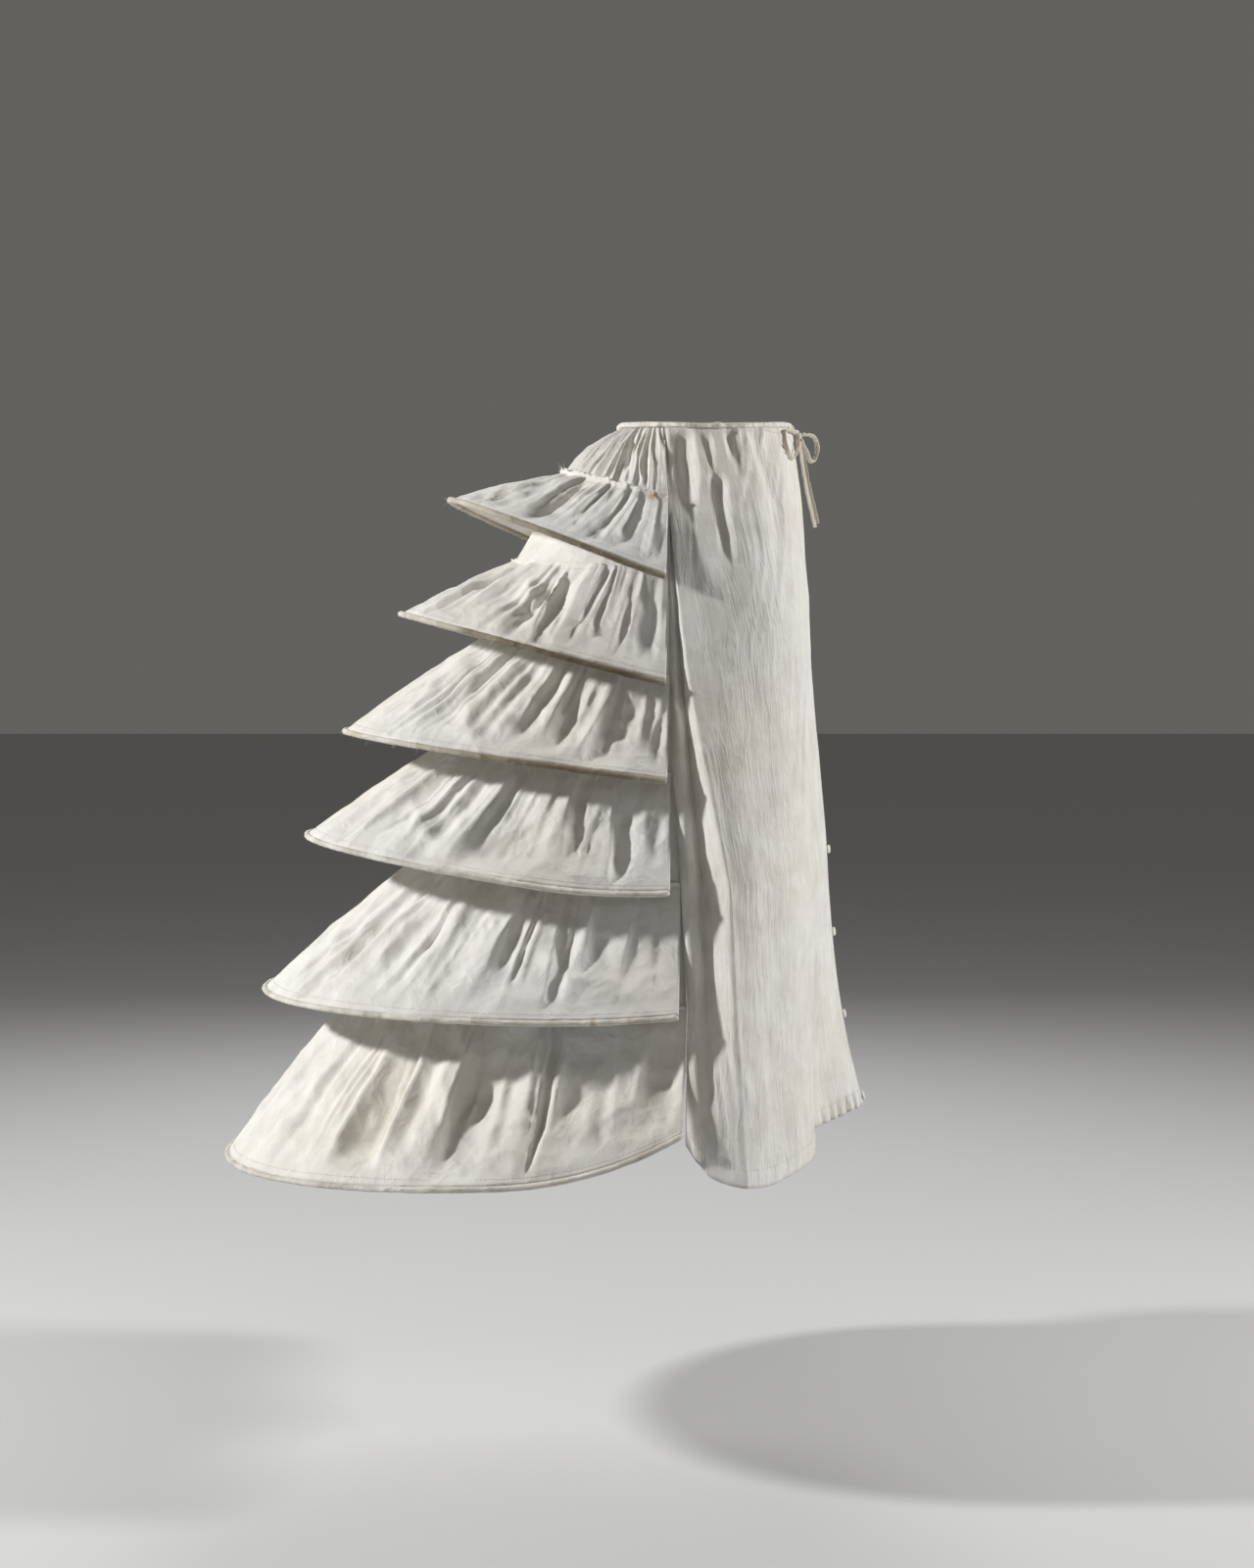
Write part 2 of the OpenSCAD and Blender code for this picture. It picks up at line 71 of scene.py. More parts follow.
mix = lambda a, b, share: a + (b - a) * share
reach = [mix(TOP_REACH, BOTTOM_REACH, s) for s in (0, 0.22, 0.47, 0.64, 0.83, 1)]
drop = [mix(TOP_DROP, BOTTOM_DROP, s) for s in (0, 0.174, 0.353, 0.512, 0.747, 1)]
radius = [mix(TOP_RADIUS, BOTTOM_RADIUS, s) for s in (0, 0.155, 0.318, 0.545, 0.773, 1)]
fall = [radians(mix(TOP_FALL, BOTTOM_FALL, s)) for s in (0, 0.273, 0.57, 0.54, 0.85, 1)]
curl = [END_CURL * s for s in (0.03, 0.03, 0.03, 0.3, 0.2, 1)]
seam_x = [-mix(TOP_SEAM, BOTTOM_SEAM, s) for s in (0, 0, 0.06, 0.1, 0.69, 1)]
back_tuck = (0.361, 0.503, 0.53, 0.488, 0.34)
drop_tuck = (0.55, 0.136, 0.067, 0.155, 0.072)
TIERS = len(reach)
print("tiers", TIERS, "reaching back", np.round(reach, 3).tolist(), "m")

# %% [markdown]
# ## Lines of the hoops, seams and waist
# A hoop is a half circle of wire that leans back, with ends that run on to the
# side seam and curl up. Each flounce is sewn on along a curve of its own, and the
# waist is an oval that dips at the sides. Curve objects could hold these lines;
# plain functions were chosen, because any place on a line can be asked for later.

# %% Hoops, seams and waist
def hoop_line(i, side):
    """Middle line of hoop i: side runs from -1 at the right end to 1 at the left end."""
    side = np.asarray(side, float)
    run = (reach[i] + seam_x[i] - CASING_R - SEAM_GAP) / np.cos(fall[i]) - radius[i]
    bow = (run ** 2 + curl[i] ** 2) / (2 * curl[i])
    bend, tail = pi * radius[i] / 2, bow * np.arcsin(run / bow)
    s = abs(side) * (bend + tail)
    a, b = np.minimum(s, bend) / radius[i], np.maximum(s - bend, 0) / bow
    x = radius[i] * (1 - np.cos(a)) + bow * np.sin(b)
    z = bow * (1 - np.cos(b))
    return np.stack([-reach[i] + x * np.cos(fall[i]) + z * np.sin(fall[i]),
                     np.sign(side) * radius[i] * np.sin(a),
                     -drop[i] - x * np.sin(fall[i]) + z * np.cos(fall[i])], -1)


def sewn_line(i, side, out=0.0):
    """Line along which flounce i is sewn to the back panel, moved outwards by out."""
    side = np.asarray(side, float)
    if i == 0:
        depth, half = YOKE_REACH + seam_x[0], YOKE_HALF_WIDTH
        z_back, z_side = -YOKE_DROP, -YOKE_SIDE_DROP
    else:
        depth = reach[i - 1] + seam_x[i] - back_tuck[i - 1] * radius[i - 1]
        half = radius[i - 1] - SIDE_TUCK
        z_back = -mix(drop[i - 1], drop[i], drop_tuck[i - 1])
        z_side = hoop_line(i - 1, 1.0)[2] + SEAM_LIFT
    a = pi / 2 * side
    return np.stack([seam_x[i] - SEAM_GAP / 2 - (depth + out) * np.cos(a), (half + out) * np.sin(a),
                     mix(z_side, z_back, np.cos(a))], -1)


def waist_line(turn, out=0.0):
    """The waist, with turn in degrees from the middle of the back."""
    t = np.radians(np.asarray(turn, float))
    return np.stack([-(WAIST_DEPTH / 2 + out) * np.cos(t), (WAIST_WIDTH / 2 + out) * np.sin(t),
                     -WAIST_DIP * np.sin(t) ** 2], -1)


print("hoop tips", [np.round(hoop_line(i, 0.0), 3).tolist() for i in range(TIERS)])

# %% [markdown]
# ## Camera
# The photograph was taken level with the hips, from the wearer's right and from
# far enough away that the hoops' far sides show only a little higher. A camera
# could be aimed at the object with a constraint. Here its place, tilt and lens
# were measured once from the photograph, so they are set as they are.

# %% Camera
camera = bpy.data.objects.new("camera", bpy.data.cameras.new("camera"))
bpy.context.collection.objects.link(camera)
camera.location = (-0.079, -2.7, -0.263)
camera.rotation_euler = (radians(90 - 2.12), 0, 0)
camera.data.sensor_width = 36
camera.data.lens = 60.75
bpy.context.scene.camera = camera
print("camera", tuple(camera.location), camera.data.lens, "mm")

# %% [markdown]
# ## Creases in plain arithmetic
# Old cotton has folds, dents and crinkles of many sizes. A cloth simulation could
# make them, but it is slow and comes out different after each small change; a
# displace modifier knows nothing of gathers. So the folds are worked out on grids
# of points, with a noise that is the same on every run and curves through points.

# %% Noise, smooth curves and normals
def smooth(x):
    """From 0 to 1 with a soft start and a soft end."""
    x = np.clip(x, 0, 1)
    return x * x * (3 - 2 * x)


def lattice(ix, iy, seed):
    """A value from -1 to 1 for each whole step, mixed from its number."""
    h = (ix * 374761393 + iy * 668265263 + seed * 974711) & 0xFFFFFFFF
    h = ((h ^ (h >> 13)) * 1274126177) & 0xFFFFFFFF
    return ((h ^ (h >> 16)) & 0xFFFF) / 32767.5 - 1.0


def noise(x, y, seed=0):
    """Smooth values from -1 to 1 that wander about once in each unit step."""
    x, y = np.broadcast_arrays(np.asarray(x, float), np.asarray(y, float))
    ix, iy = np.floor(x).astype(np.int64), np.floor(y).astype(np.int64)
    fx, fy = smooth(x - ix), smooth(y - iy)
    low = mix(lattice(ix, iy, seed), lattice(ix + 1, iy, seed), fx)
    high = mix(lattice(ix, iy + 1, seed), lattice(ix + 1, iy + 1, seed), fx)
    return mix(low, high, fy)


def crease(x, y, seed=0):
    """Sharp little ridges, as in crumpled cloth."""
    return 1 - 2 * abs(noise(x, y, seed))


def smooth_line(points, count):
    """A smooth curve through points, with count points on it."""
    p = np.asarray(points, float)
    p = np.vstack([2 * p[0] - p[1], p, 2 * p[-1] - p[-2]])
    x = np.linspace(0, len(p) - 3, count)
    i = np.minimum(x.astype(int), len(p) - 4)
    t = (x - i)[:, None]
    a, b, c, d = p[i], p[i + 1], p[i + 2], p[i + 3]
    bend, swing = 2 * a - 5 * b + 4 * c - d, 3 * b - a - 3 * c + d
    return b + (c - a) * t / 2 + bend * t ** 2 / 2 + swing * t ** 3 / 2


def unit(v):
    """The same directions with length one."""
    return v / np.maximum(np.linalg.norm(v, axis=-1, keepdims=True), 1e-12)


def grid_normals(g):
    """Directions that stand up from a grid of points."""
    return unit(np.cross(np.gradient(g, axis=0), np.gradient(g, axis=1)))


def lengths(points, axis=0):
    """Length along a row of points, from zero at its start."""
    step = np.linalg.norm(np.diff(points, axis=axis), axis=-1)
    return np.concatenate([np.zeros_like(np.take(step, [0], axis)), np.cumsum(step, axis)], axis)


trial = crease(np.linspace(0, 20, 400), 0.5)
print("creases from", round(float(trial.min()), 2), "to", round(float(trial.max()), 2))

# %% [markdown]
# ## Sheets of cloth
# Each cloth piece of the bustle is one sheet, about half a millimetre thick. It
# could be a subdivided plane that is pushed into shape. Here its grid of points
# is worked out first and made into a mesh in one go, and a solidify modifier
# gives the thickness. The UV map is in metres, so the weave has one scale.

# %% Meshes and cloth
CLOTH = 0.0005
UP = np.array([0.0, 0.0, 1.0])
PLAN = np.array([1, 1, 0])


def add_object(name, points, faces, material, uv=None):
    """A smooth-shaded mesh object with one material."""
    mesh = bpy.data.meshes.new(name)
    mesh.from_pydata(np.asarray(points).tolist(), [], [list(map(int, f)) for f in faces])
    if uv is not None:
        layer = mesh.uv_layers.new(name="cloth")
        where = np.empty(len(mesh.loops), int)
        mesh.loops.foreach_get("vertex_index", where)
        layer.data.foreach_set("uv", np.asarray(uv, np.float32)[where].ravel())
    mesh.polygons.foreach_set("use_smooth", [True] * len(mesh.polygons))
    mesh.materials.append(material)
    mesh.update()
    piece = bpy.data.objects.new(name, mesh)
    bpy.context.collection.objects.link(piece)
    return piece


def add_cloth(name, g, material):
    """A sheet of cloth on a grid of points; the outside faces along its normals."""
    rows, cols = g.shape[:2]
    p = np.arange(rows * cols).reshape(rows, cols)
    faces = np.stack([p[:-1, :-1], p[1:, :-1], p[1:, 1:], p[:-1, 1:]], -1).reshape(-1, 4)
    across = np.broadcast_to(lengths(g, 1).mean(0)[None, :], (rows, cols))
    down = np.broadcast_to(lengths(g, 0).mean(1)[:, None], (rows, cols))
    uv = np.stack([across, down], -1).reshape(-1, 2)
    piece = add_object(name, g.reshape(-1, 3), faces, material, uv)
    wall = piece.modifiers.new("cloth thickness", "SOLIDIFY")
    wall.thickness, wall.offset = CLOTH, 0
    return piece


print("cloth", CLOTH * 1000, "mm thick")

# %% [markdown]
# ## Tape and cord
# The waist tape, the casings and the string are long and narrow. A curve with a
# bevel would give them an even section. Old tape swells, puckers and closes at
# its ends, so a section that may change from ring to ring is swept along a line.

# %% Tape and cord
TAPE_UV = 0.02


def rounded(x, power):
    """A sine or cosine that stays near its ends for longer, for a section with flatter sides."""
    return np.sign(x) * abs(x) ** power


def swept(name, path, section, width_axis, material):
    """A section swept along a path: section is (rings, sides, 2), along width and thickness."""
    path, section = np.asarray(path, float), np.asarray(section, float)
    ahead = unit(np.gradient(path, axis=0))
    w = unit(width_axis - ahead * np.sum(width_axis * ahead, -1, keepdims=True))
    n = np.cross(ahead, w)
    rings, sides = section.shape[:2]
    g = path[:, None] + section[..., :1] * w[:, None] + section[..., 1:] * n[:, None]
    p = np.arange(rings * sides).reshape(rings, sides)
    q = np.roll(p, -1, 1)
    faces = np.stack([p[:-1], q[:-1], q[1:], p[1:]], -1).reshape(-1, 4).tolist()
    faces += [p[0, ::-1].tolist(), p[-1].tolist()]
    around = np.broadcast_to(np.linspace(0, 1, sides)[None] * TAPE_UV, (rings, sides))
    along = np.broadcast_to(lengths(path)[:, None], (rings, sides))
    uv = np.stack([around, along], -1).reshape(-1, 2)
    return add_object(name, g.reshape(-1, 3), faces, material, uv)


def flat_section(rings, width, thick):
    """A flat tape with rounded edges."""
    a = np.radians([0, 35, 65, 90, 115, 145, 180, 215, 245, 270, 295, 325])
    s = np.stack([rounded(np.cos(a), 0.6) * width / 2, rounded(np.sin(a), 0.8) * thick / 2], -1)
    return np.broadcast_to(s, (rings, len(a), 2)).copy()


print("flat tape of", flat_section(1, STRING_WIDTH, STRING_THICK).shape[1], "sides")

# %% [markdown]
# ## Stitches and thread ends
# The seams are sewn by hand, and the oldest edges have frayed. A stitch could be
# one object that is copied along a curve, and hair could give the fray. Small
# meshes that are built in one go were chosen: they are light and always the same.

# %% Stitches and thread ends
STITCH_PITCH, STITCH_LENGTH, STITCH_R = 0.0036, 0.0022, 0.00035
STITCH_POINTS = ((-0.5, 0, -0.4), (-0.28, 0.8, 0.3), (-0.28, -0.8, 0.3), (-0.28, 0, 0.9),
                 (0.28, 0.8, 0.3), (0.28, -0.8, 0.3), (0.28, 0, 0.9), (0.5, 0, -0.4))
STITCH_FACES = ((0, 1, 3), (0, 3, 2), (1, 4, 6, 3), (3, 6, 5, 2), (4, 7, 6), (6, 7, 5),
                (0, 2, 1), (1, 2, 5, 4), (4, 5, 7))
THREAD_R, THREAD_RINGS, THREAD_SIDES = 0.00012, 5, 3


def add_stitches(name, line, out, material):
    """A row of running stitches that lie on a line; out points away from the cloth."""
    s = lengths(line)
    at = np.arange(STITCH_PITCH, s[-1] - STITCH_PITCH, STITCH_PITCH)
    pick = lambda v: np.stack([np.interp(at, s, v[:, k]) for k in range(3)], -1)
    mid, up = pick(line), unit(pick(out))
    ahead = unit(pick(np.gradient(line, axis=0)))
    side = np.cross(ahead, up)
    points = np.stack([mid + ahead * x * STITCH_LENGTH + side * y * STITCH_R + up * z * STITCH_R
                       for x, y, z in STITCH_POINTS], 1)
    faces = [[len(STITCH_POINTS) * k + j for j in f] for k in range(len(at)) for f in STITCH_FACES]
    return add_object(name, points.reshape(-1, 3), faces, material)


def add_threads(name, starts, aims, longest, material, seed):
    """Loose thread ends that start at given places and curl away along their aims."""
    rng = np.random.default_rng(seed)
    count = len(starts)
    long = longest * rng.uniform(0.35, 1.0, count)[:, None]
    aims = unit(aims + rng.uniform(-0.7, 0.7, (count, 3)))
    curls = rng.uniform(-0.6, 0.6, (count, 3))
    points, faces = [], []
    for t in np.linspace(0, 1, THREAD_RINGS):
        mid = starts + (aims * t + curls * t * t) * long
        for j in range(THREAD_SIDES):
            b = 2 * pi * j / THREAD_SIDES
            rim = np.array([np.cos(b), np.sin(b) * 0.6, np.sin(b) * 0.8])
            points.append(mid + rim * THREAD_R * (1.1 - 0.5 * t))
    points = np.stack(points, 1)
    for first in range(0, count * THREAD_RINGS * THREAD_SIDES, THREAD_RINGS * THREAD_SIDES):
        faces += [(first + 2, first + 1, first), (first + 12, first + 13, first + 14)]
        for low in range(first, first + (THREAD_RINGS - 1) * THREAD_SIDES, THREAD_SIDES):
            for j in range(THREAD_SIDES):
                k = (j + 1) % THREAD_SIDES
                faces.append((low + j, low + k, low + THREAD_SIDES + k, low + THREAD_SIDES + j))
    return add_object(name, points.reshape(-1, 3), faces, material)


print("a stitch every", STITCH_PITCH * 1000, "mm")

# %% [markdown]
# ## Cotton finish
# Everything that shows is old white cotton: plain woven and papery, with cloudy
# patches, small creases, some yellowing and a few stains. Photographs of cloth
# could be laid on it. Shader noise was chosen instead, because it has no seams
# and takes stains at any place; the weave is two crossed waves in a bump.

# %% Material helpers
def new_material(name):
    material = bpy.data.materials.new(name)
    material.use_nodes = True
    return material, material.node_tree.nodes, material.node_tree.links


def put(nodes, kind, **values):
    """A new node, with values for its inputs and settings."""
    node = nodes.new(kind)
    for key, value in values.items():
        if key in node.inputs:
            node.inputs[key].default_value = value
        else:
            setattr(node, key, value)
    return node


def ramp(nodes, links, source, stops):
    """Colours for the values of a noise, from stops of place and colour."""
    node = nodes.new("ShaderNodeValToRGB")
    while len(node.color_ramp.elements) < len(stops):
        node.color_ramp.elements.new(0.5)
    for element, (place, colour) in zip(node.color_ramp.elements, stops):
        element.position, element.color = place, (*colour, 1)
    links.new(source.outputs["Fac"], node.inputs["Fac"])
    return node.outputs["Color"]


def darken(nodes, links, colour, tint, amount):
    """Multiply a colour by a tint; the tint and the amount are values or other nodes' outputs."""
    node = put(nodes, "ShaderNodeMix", data_type="RGBA", blend_type="MULTIPLY")
    links.new(colour, node.inputs["A"])
    for socket, value in (("B", tint), ("Factor", amount)):
        if isinstance(value, bpy.types.NodeSocket):
            links.new(value, node.inputs[socket])
        else:
            node.inputs[socket].default_value = value
    return node.outputs["Result"]


def textured(nodes, links, kind, place, **values):
    """A texture node that is laid out by a place: the object's axes, the UV map or a mapping."""
    node = put(nodes, kind, **values)
    links.new(place, node.inputs["Vector"])
    return node


def ragged_spot(nodes, links, place, clouds, spot, size):
    """How strongly a spot shows (rust, stains, and wear with painted shade): full at its spot, with an edge
    that the clouds make ragged.
    """
    far = put(nodes, "ShaderNodeVectorMath", operation="DISTANCE")
    far.inputs[1].default_value = spot
    links.new(place.outputs["Object"], far.inputs[0])
    ragged = put(nodes, "ShaderNodeMath", operation="MULTIPLY_ADD")
    ragged.inputs[1].default_value = -size * 1.4
    links.new(clouds.outputs["Fac"], ragged.inputs[0])
    links.new(far.outputs["Value"], ragged.inputs[2])
    edge = put(nodes, "ShaderNodeMapRange", clamp=True)
    edge.inputs["From Min"].default_value = size * 0.4
    edge.inputs["From Max"].default_value = -size * 0.5
    links.new(ragged.outputs["Value"], edge.inputs["Value"])
    return edge.outputs["Result"]


def woven(nodes, links, place, pitch):
    """Height of a plain weave: two crossed waves."""
    weave = put(nodes, "ShaderNodeMath", operation="MULTIPLY")
    for k, axis in enumerate(("X", "Y")):
        wave = textured(nodes, links, "ShaderNodeTexWave", place.outputs["UV"], wave_type="BANDS",
                        bands_direction=axis, wave_profile="SIN", Scale=0.314 / pitch, Distortion=1.2,
                        Detail=1.0)
        wave.inputs["Detail Scale"].default_value = 1.5
        links.new(wave.outputs["Fac"], weave.inputs[k])
    return weave.outputs["Value"]


print("helpers for", len(bpy.data.materials), "materials so far")

# %% [markdown]
# ## One recipe for all the cotton
# The cloth, the tapes, the string and the thread are all cotton and differ in
# colour, in the pitch of the weave and in how crumpled they are. Each could have a
# node tree of its own. One function makes them all, so that they age alike; the
# front cloth also gets crinkled streaks, with painted shade in their grooves.

# %% Cotton
AGED_TINT = (1.0, 0.965, 0.89, 1)
# Painted shade for the grooves of the front cloth's streaks, how strongly it shows, and the streaks' scale.
GROOVE_PAINTED_SHADE, GROOVE_SHADE_AMOUNT, STREAK_SCALE = (0.86, 0.845, 0.81), 0.6, (190, 22, 1)
CREASE_HEIGHT, WEAVE_HEIGHT = 0.003, 0.0003


def cotton(name, light, shade, weave_pitch=0.0011, crumple=0.30, streak=0.0, spots=()):
    """Old cotton: cloudy colour, woven threads, crumples, spots at given places (rust, stains, and wear with
    painted shade), and streaks with painted shade in their grooves.
    """
    material, nodes, links = new_material(name)
    shader = nodes["Principled BSDF"]
    shader.inputs["Roughness"].default_value = 0.9
    shader.inputs["Sheen Weight"].default_value = 0.12
    shader.inputs["Sheen Roughness"].default_value = 0.6
    shader.inputs["Specular IOR Level"].default_value = 0.25
    place = put(nodes, "ShaderNodeTexCoord")
    body = place.outputs["Object"]
    clouds = textured(nodes, links, "ShaderNodeTexNoise", body, Scale=26.0, Detail=6.0, Roughness=0.62,
                      Distortion=0.4)
    aged = textured(nodes, links, "ShaderNodeTexNoise", body, Scale=5.0, Detail=3.0, Roughness=0.5)
    tone = ramp(nodes, links, clouds, [(0.32, shade), (0.62, light)])
    old = ramp(nodes, links, aged, [(0.45, (0, 0, 0)), (0.8, (1, 1, 1))])
    colour = darken(nodes, links, tone, AGED_TINT, old)
    # Spots of rust, stains, and wear with painted shade, each at its place.
    for spot, size, spot_colour in spots:
        amount = ragged_spot(nodes, links, place, clouds, spot, size)
        colour = darken(nodes, links, colour, (*spot_colour, 1), amount)

    crush = textured(nodes, links, "ShaderNodeTexNoise", body, noise_type="RIDGED_MULTIFRACTAL", Scale=30.0,
                     Detail=4.0, Roughness=0.5, Distortion=0.15)
    crush.inputs["Offset"].default_value = 1.0
    crush.inputs["Gain"].default_value = 1.4
    bump_weave = put(nodes, "ShaderNodeBump", Strength=0.25, Distance=WEAVE_HEIGHT)
    links.new(woven(nodes, links, place, weave_pitch), bump_weave.inputs["Height"])
    last = put(nodes, "ShaderNodeBump", Strength=crumple, Distance=CREASE_HEIGHT)
    links.new(crush.outputs["Fac"], last.inputs["Height"])
    links.new(bump_weave.outputs["Normal"], last.inputs["Normal"])
    if streak:
        stretch = textured(nodes, links, "ShaderNodeMapping", place.outputs["UV"])
        stretch.inputs["Scale"].default_value = STREAK_SCALE
        lines = textured(nodes, links, "ShaderNodeTexNoise", stretch.outputs["Vector"], Scale=1.0, Detail=5.0,
                         Roughness=0.62, Distortion=1.3)
        # Painted shade: the colour is darkened where the streaks' bump is low, in their grooves.
        groove_shade = ramp(nodes, links, lines, [(0.36, GROOVE_PAINTED_SHADE), (0.56, (1, 1, 1))])
        colour = darken(nodes, links, colour, groove_shade, GROOVE_SHADE_AMOUNT)
        bump_lines = put(nodes, "ShaderNodeBump", Strength=streak, Distance=CREASE_HEIGHT)
        links.new(lines.outputs["Fac"], bump_lines.inputs["Height"])
        links.new(last.outputs["Normal"], bump_lines.inputs["Normal"])
        last = bump_lines
    links.new(colour, shader.inputs["Base Color"])
    links.new(last.outputs["Normal"], shader.inputs["Normal"])
    return material


WHITE, CLOUD = (0.80, 0.785, 0.75), (0.69, 0.672, 0.63)
YELLOW, BROWN = (0.93, 0.82, 0.52), (0.62, 0.46, 0.30)
cotton_cloth = cotton("cotton_cloth", WHITE, CLOUD, spots=[
    ((-0.150, -0.120, -0.135), 0.006, YELLOW), ((-0.055, -0.140, -0.080), 0.007, BROWN)])
front_cloth = cotton("front_cloth", (0.78, 0.765, 0.73), (0.68, 0.66, 0.615), crumple=0.12, streak=0.5)
print("cloths", cotton_cloth.name, front_cloth.name)

# %% [markdown]
# ## Tape, string, thread and steel
# The tape is a touch darker than the cloth and the drawstring is unbleached. The
# upper three casings are worn and darkened with painted shade, darkest at their sides;
# the lower three are a little greyer, with spots of rust on the fifth. Vertex paint
# could show this; spots along the hoops keep it with the sizes. The steel is dull wire.

# %% Tape, string, thread and steel
TAPE_WEAVE, TAPE_CRUMPLE, WORN_SHADED_TIERS, RUSTY_HOOP = 0.0008, 0.5, 3, 4
# The wear colour is part real wear, part painted shade.
WEAR_AND_SHADE, RUST = (0.48, 0.44, 0.36), (0.55, 0.34, 0.18)
cotton_tape = cotton("cotton_tape", (0.76, 0.74, 0.69), (0.62, 0.595, 0.54), TAPE_WEAVE, TAPE_CRUMPLE)
# Upper casings: worn cloth darkened further with painted shade, darkest at the sides.
casing_worn_shaded = cotton(
    "casing_worn_shaded", (0.68, 0.655, 0.59), (0.44, 0.405, 0.33), TAPE_WEAVE, TAPE_CRUMPLE,
    spots=[(tuple(hoop_line(i, s)), 0.17, WEAR_AND_SHADE) for i in range(WORN_SHADED_TIERS) for s in (-0.78, 0.78)])
# The lower casings are a little greyer than the tape, with rust spots on the fifth.
casing_greyer = cotton(
    "casing_greyer", (0.72, 0.70, 0.645), (0.47, 0.44, 0.375), TAPE_WEAVE, TAPE_CRUMPLE,
    spots=[(tuple(hoop_line(RUSTY_HOOP, s)), 0.004, RUST) for s in (-0.16, -0.47, -0.5, -0.86, -0.92)])
string_tape = cotton("string_tape", (0.66, 0.62, 0.53), (0.53, 0.485, 0.40), weave_pitch=0.0007, crumple=0.2)
thread = cotton("sewing_thread", (0.80, 0.78, 0.72), (0.70, 0.67, 0.60), weave_pitch=0.0003, crumple=0.1)
steel, steel_nodes, steel_links = new_material("spring_steel")
steel_shader = steel_nodes["Principled BSDF"]
steel_shader.inputs["Metallic"].default_value = 1.0
steel_grain = put(steel_nodes, "ShaderNodeTexNoise", Scale=240.0, Detail=4.0)
for socket, dark, bright in (("Base Color", (0.30, 0.28, 0.27), (0.46, 0.45, 0.44)),
                             ("Roughness", (0.55, 0.55, 0.55), (0.35, 0.35, 0.35))):
    grain = ramp(steel_nodes, steel_links, steel_grain, [(0.3, dark), (0.7, bright)])
    steel_links.new(grain, steel_shader.inputs[socket])
print("materials", len(bpy.data.materials))

# %% [markdown]
# ## Handing a piece to the frame
# The bustle has no moving parts, so every piece rides on the same body, and the
# solids that it stands for are hidden. This could be done at each piece; a small
# helper keeps the two together, so that neither is forgotten.

# %% Handing a piece to the frame
def finish_piece(piece, slot, *nodes):
    """Each piece moves with the frame and hides the CAD nodes it stands for; slot is not used."""
    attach(piece, "root")
    if nodes:
        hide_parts(*nodes)
    return piece


print("solids to dress", len(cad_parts))

# %% [markdown]
# ## Knot of the bow
# The drawstring is a flat cotton tape about 5 mm wide. It leaves the waist tape at
# the front and is tied there in a bow with one tight knot. A real knot could be
# traced strand by strand, but at this size only its wrapped outside shows, so
# the tape is wound a few times round a small barrel.

# %% Knot of the bow
KNOT_D, KNOT_HEIGHT, KNOT_STAND = 0.008, 0.010, 0.0025
WIND_TURNS, WIND_R, WIND_TALL, WIND_POINTS = 2.4, 0.0031, 0.0068, 160
knot = np.array([WAIST_DEPTH / 2 + TAPE_DEPTH / 2 + KNOT_D / 2 + KNOT_STAND, 0, -KNOT_HEIGHT])
turns = np.linspace(0, 1, WIND_POINTS)
wind = 2 * pi * WIND_TURNS * turns
swell = np.sin(pi * (0.12 + 0.76 * turns))
knot_path = knot + np.stack([WIND_R * swell * np.cos(wind), WIND_R * swell * np.sin(wind),
                             (turns - 0.5) * WIND_TALL], -1)
knot_wrap = swept("bow_knot_wrap", knot_path, flat_section(WIND_POINTS, 0.0036, 0.0018),
                  np.array([0.0, 0.12, 1.0]), string_tape)
finish_piece(knot_wrap, "drawstring_tape", "bow_knot")
print("knot at", np.round(knot, 4).tolist())

# %% [markdown]
# ## Loops and tails
# Two loops and two tails hang out of the knot. A rope simulation could drop them
# into place, but the photograph shows how they hang. So each has a short list of
# places in millimetres from the knot, the same as in the solid model, and a
# direction in which its flat side stands.

# %% Loops and tails
MM, STRING_POINTS = 0.001, 90
routes = {
    "bow_loop_right": ([
        (-1, -4, 3), (-2, -14, 3), (-4, -24, 3), (-7, -34, 2), (-11, -44, 2), (-15, -54, 2), (-18, -62, -2),
        (-18, -67, -9), (-16, -67, -17), (-13, -62, -23), (-9, -54, -26), (-6, -45, -24), (-4, -35, -19),
        (-2, -24, -13), (-1, -14, -8), (-1, -4, -3)], (0.7, -0.3, 0.6)),
    "bow_loop_left": ([
        (3, 3, 3), (7, 11, 3), (11, 20, 4), (15, 28, 4), (19, 35, 2), (22, 41, -4), (22, 42, -12),
        (20, 38, -19), (17, 31, -23), (13, 23, -21), (10, 16, -15), (6, 9, -9),
        (3, 3, -3)], (0.8, -0.2, 0.5)),
    "tie_tail_right": ([
        (1, -2.2, -5), (2, -3.2, -14), (4, -4, -28), (7, -4, -46), (10, -4, -62), (14, -5, -79),
        (17, -5, -92)], (0.8, 0.6, 0)),
    "tie_tail_left": ([
        (1, 2.2, -5), (4, 2.4, -15), (7, 2, -28), (10, 2, -45), (14, 2, -62), (20, 1, -88)], (0.8, -0.6, 0)),
}
bow_lengths = {}
for name, (route, width_axis) in routes.items():
    path = smooth_line(np.array(route) * MM + knot, STRING_POINTS)
    along = lengths(path)
    section = flat_section(STRING_POINTS, STRING_WIDTH, STRING_THICK)
    section *= (1 + 0.06 * noise(along / 0.006, 3.0, 11))[:, None, None]
    section[..., 1] += 0.0004 * noise(along / 0.004, 7.0, 12)[:, None]
    piece = swept(name + "_tape", path, section, np.array(width_axis, float), string_tape)
    finish_piece(piece, "drawstring_tape", name)
    bow_lengths[name] = float(along[-1])
print("bow pieces, mm", {n: round(v * 1000) for n, v in bow_lengths.items()})

# %% [markdown]
# ## Waist tape
# The waist is a narrow tape folded over the drawstring. Drawn up, it has become a
# slim, puckered roll that swells where its joins lie, at the middle of the back
# and at the side. A bevelled curve would be too even, so a soft section is swept
# round the waist line, with its height and depth taken from noise.

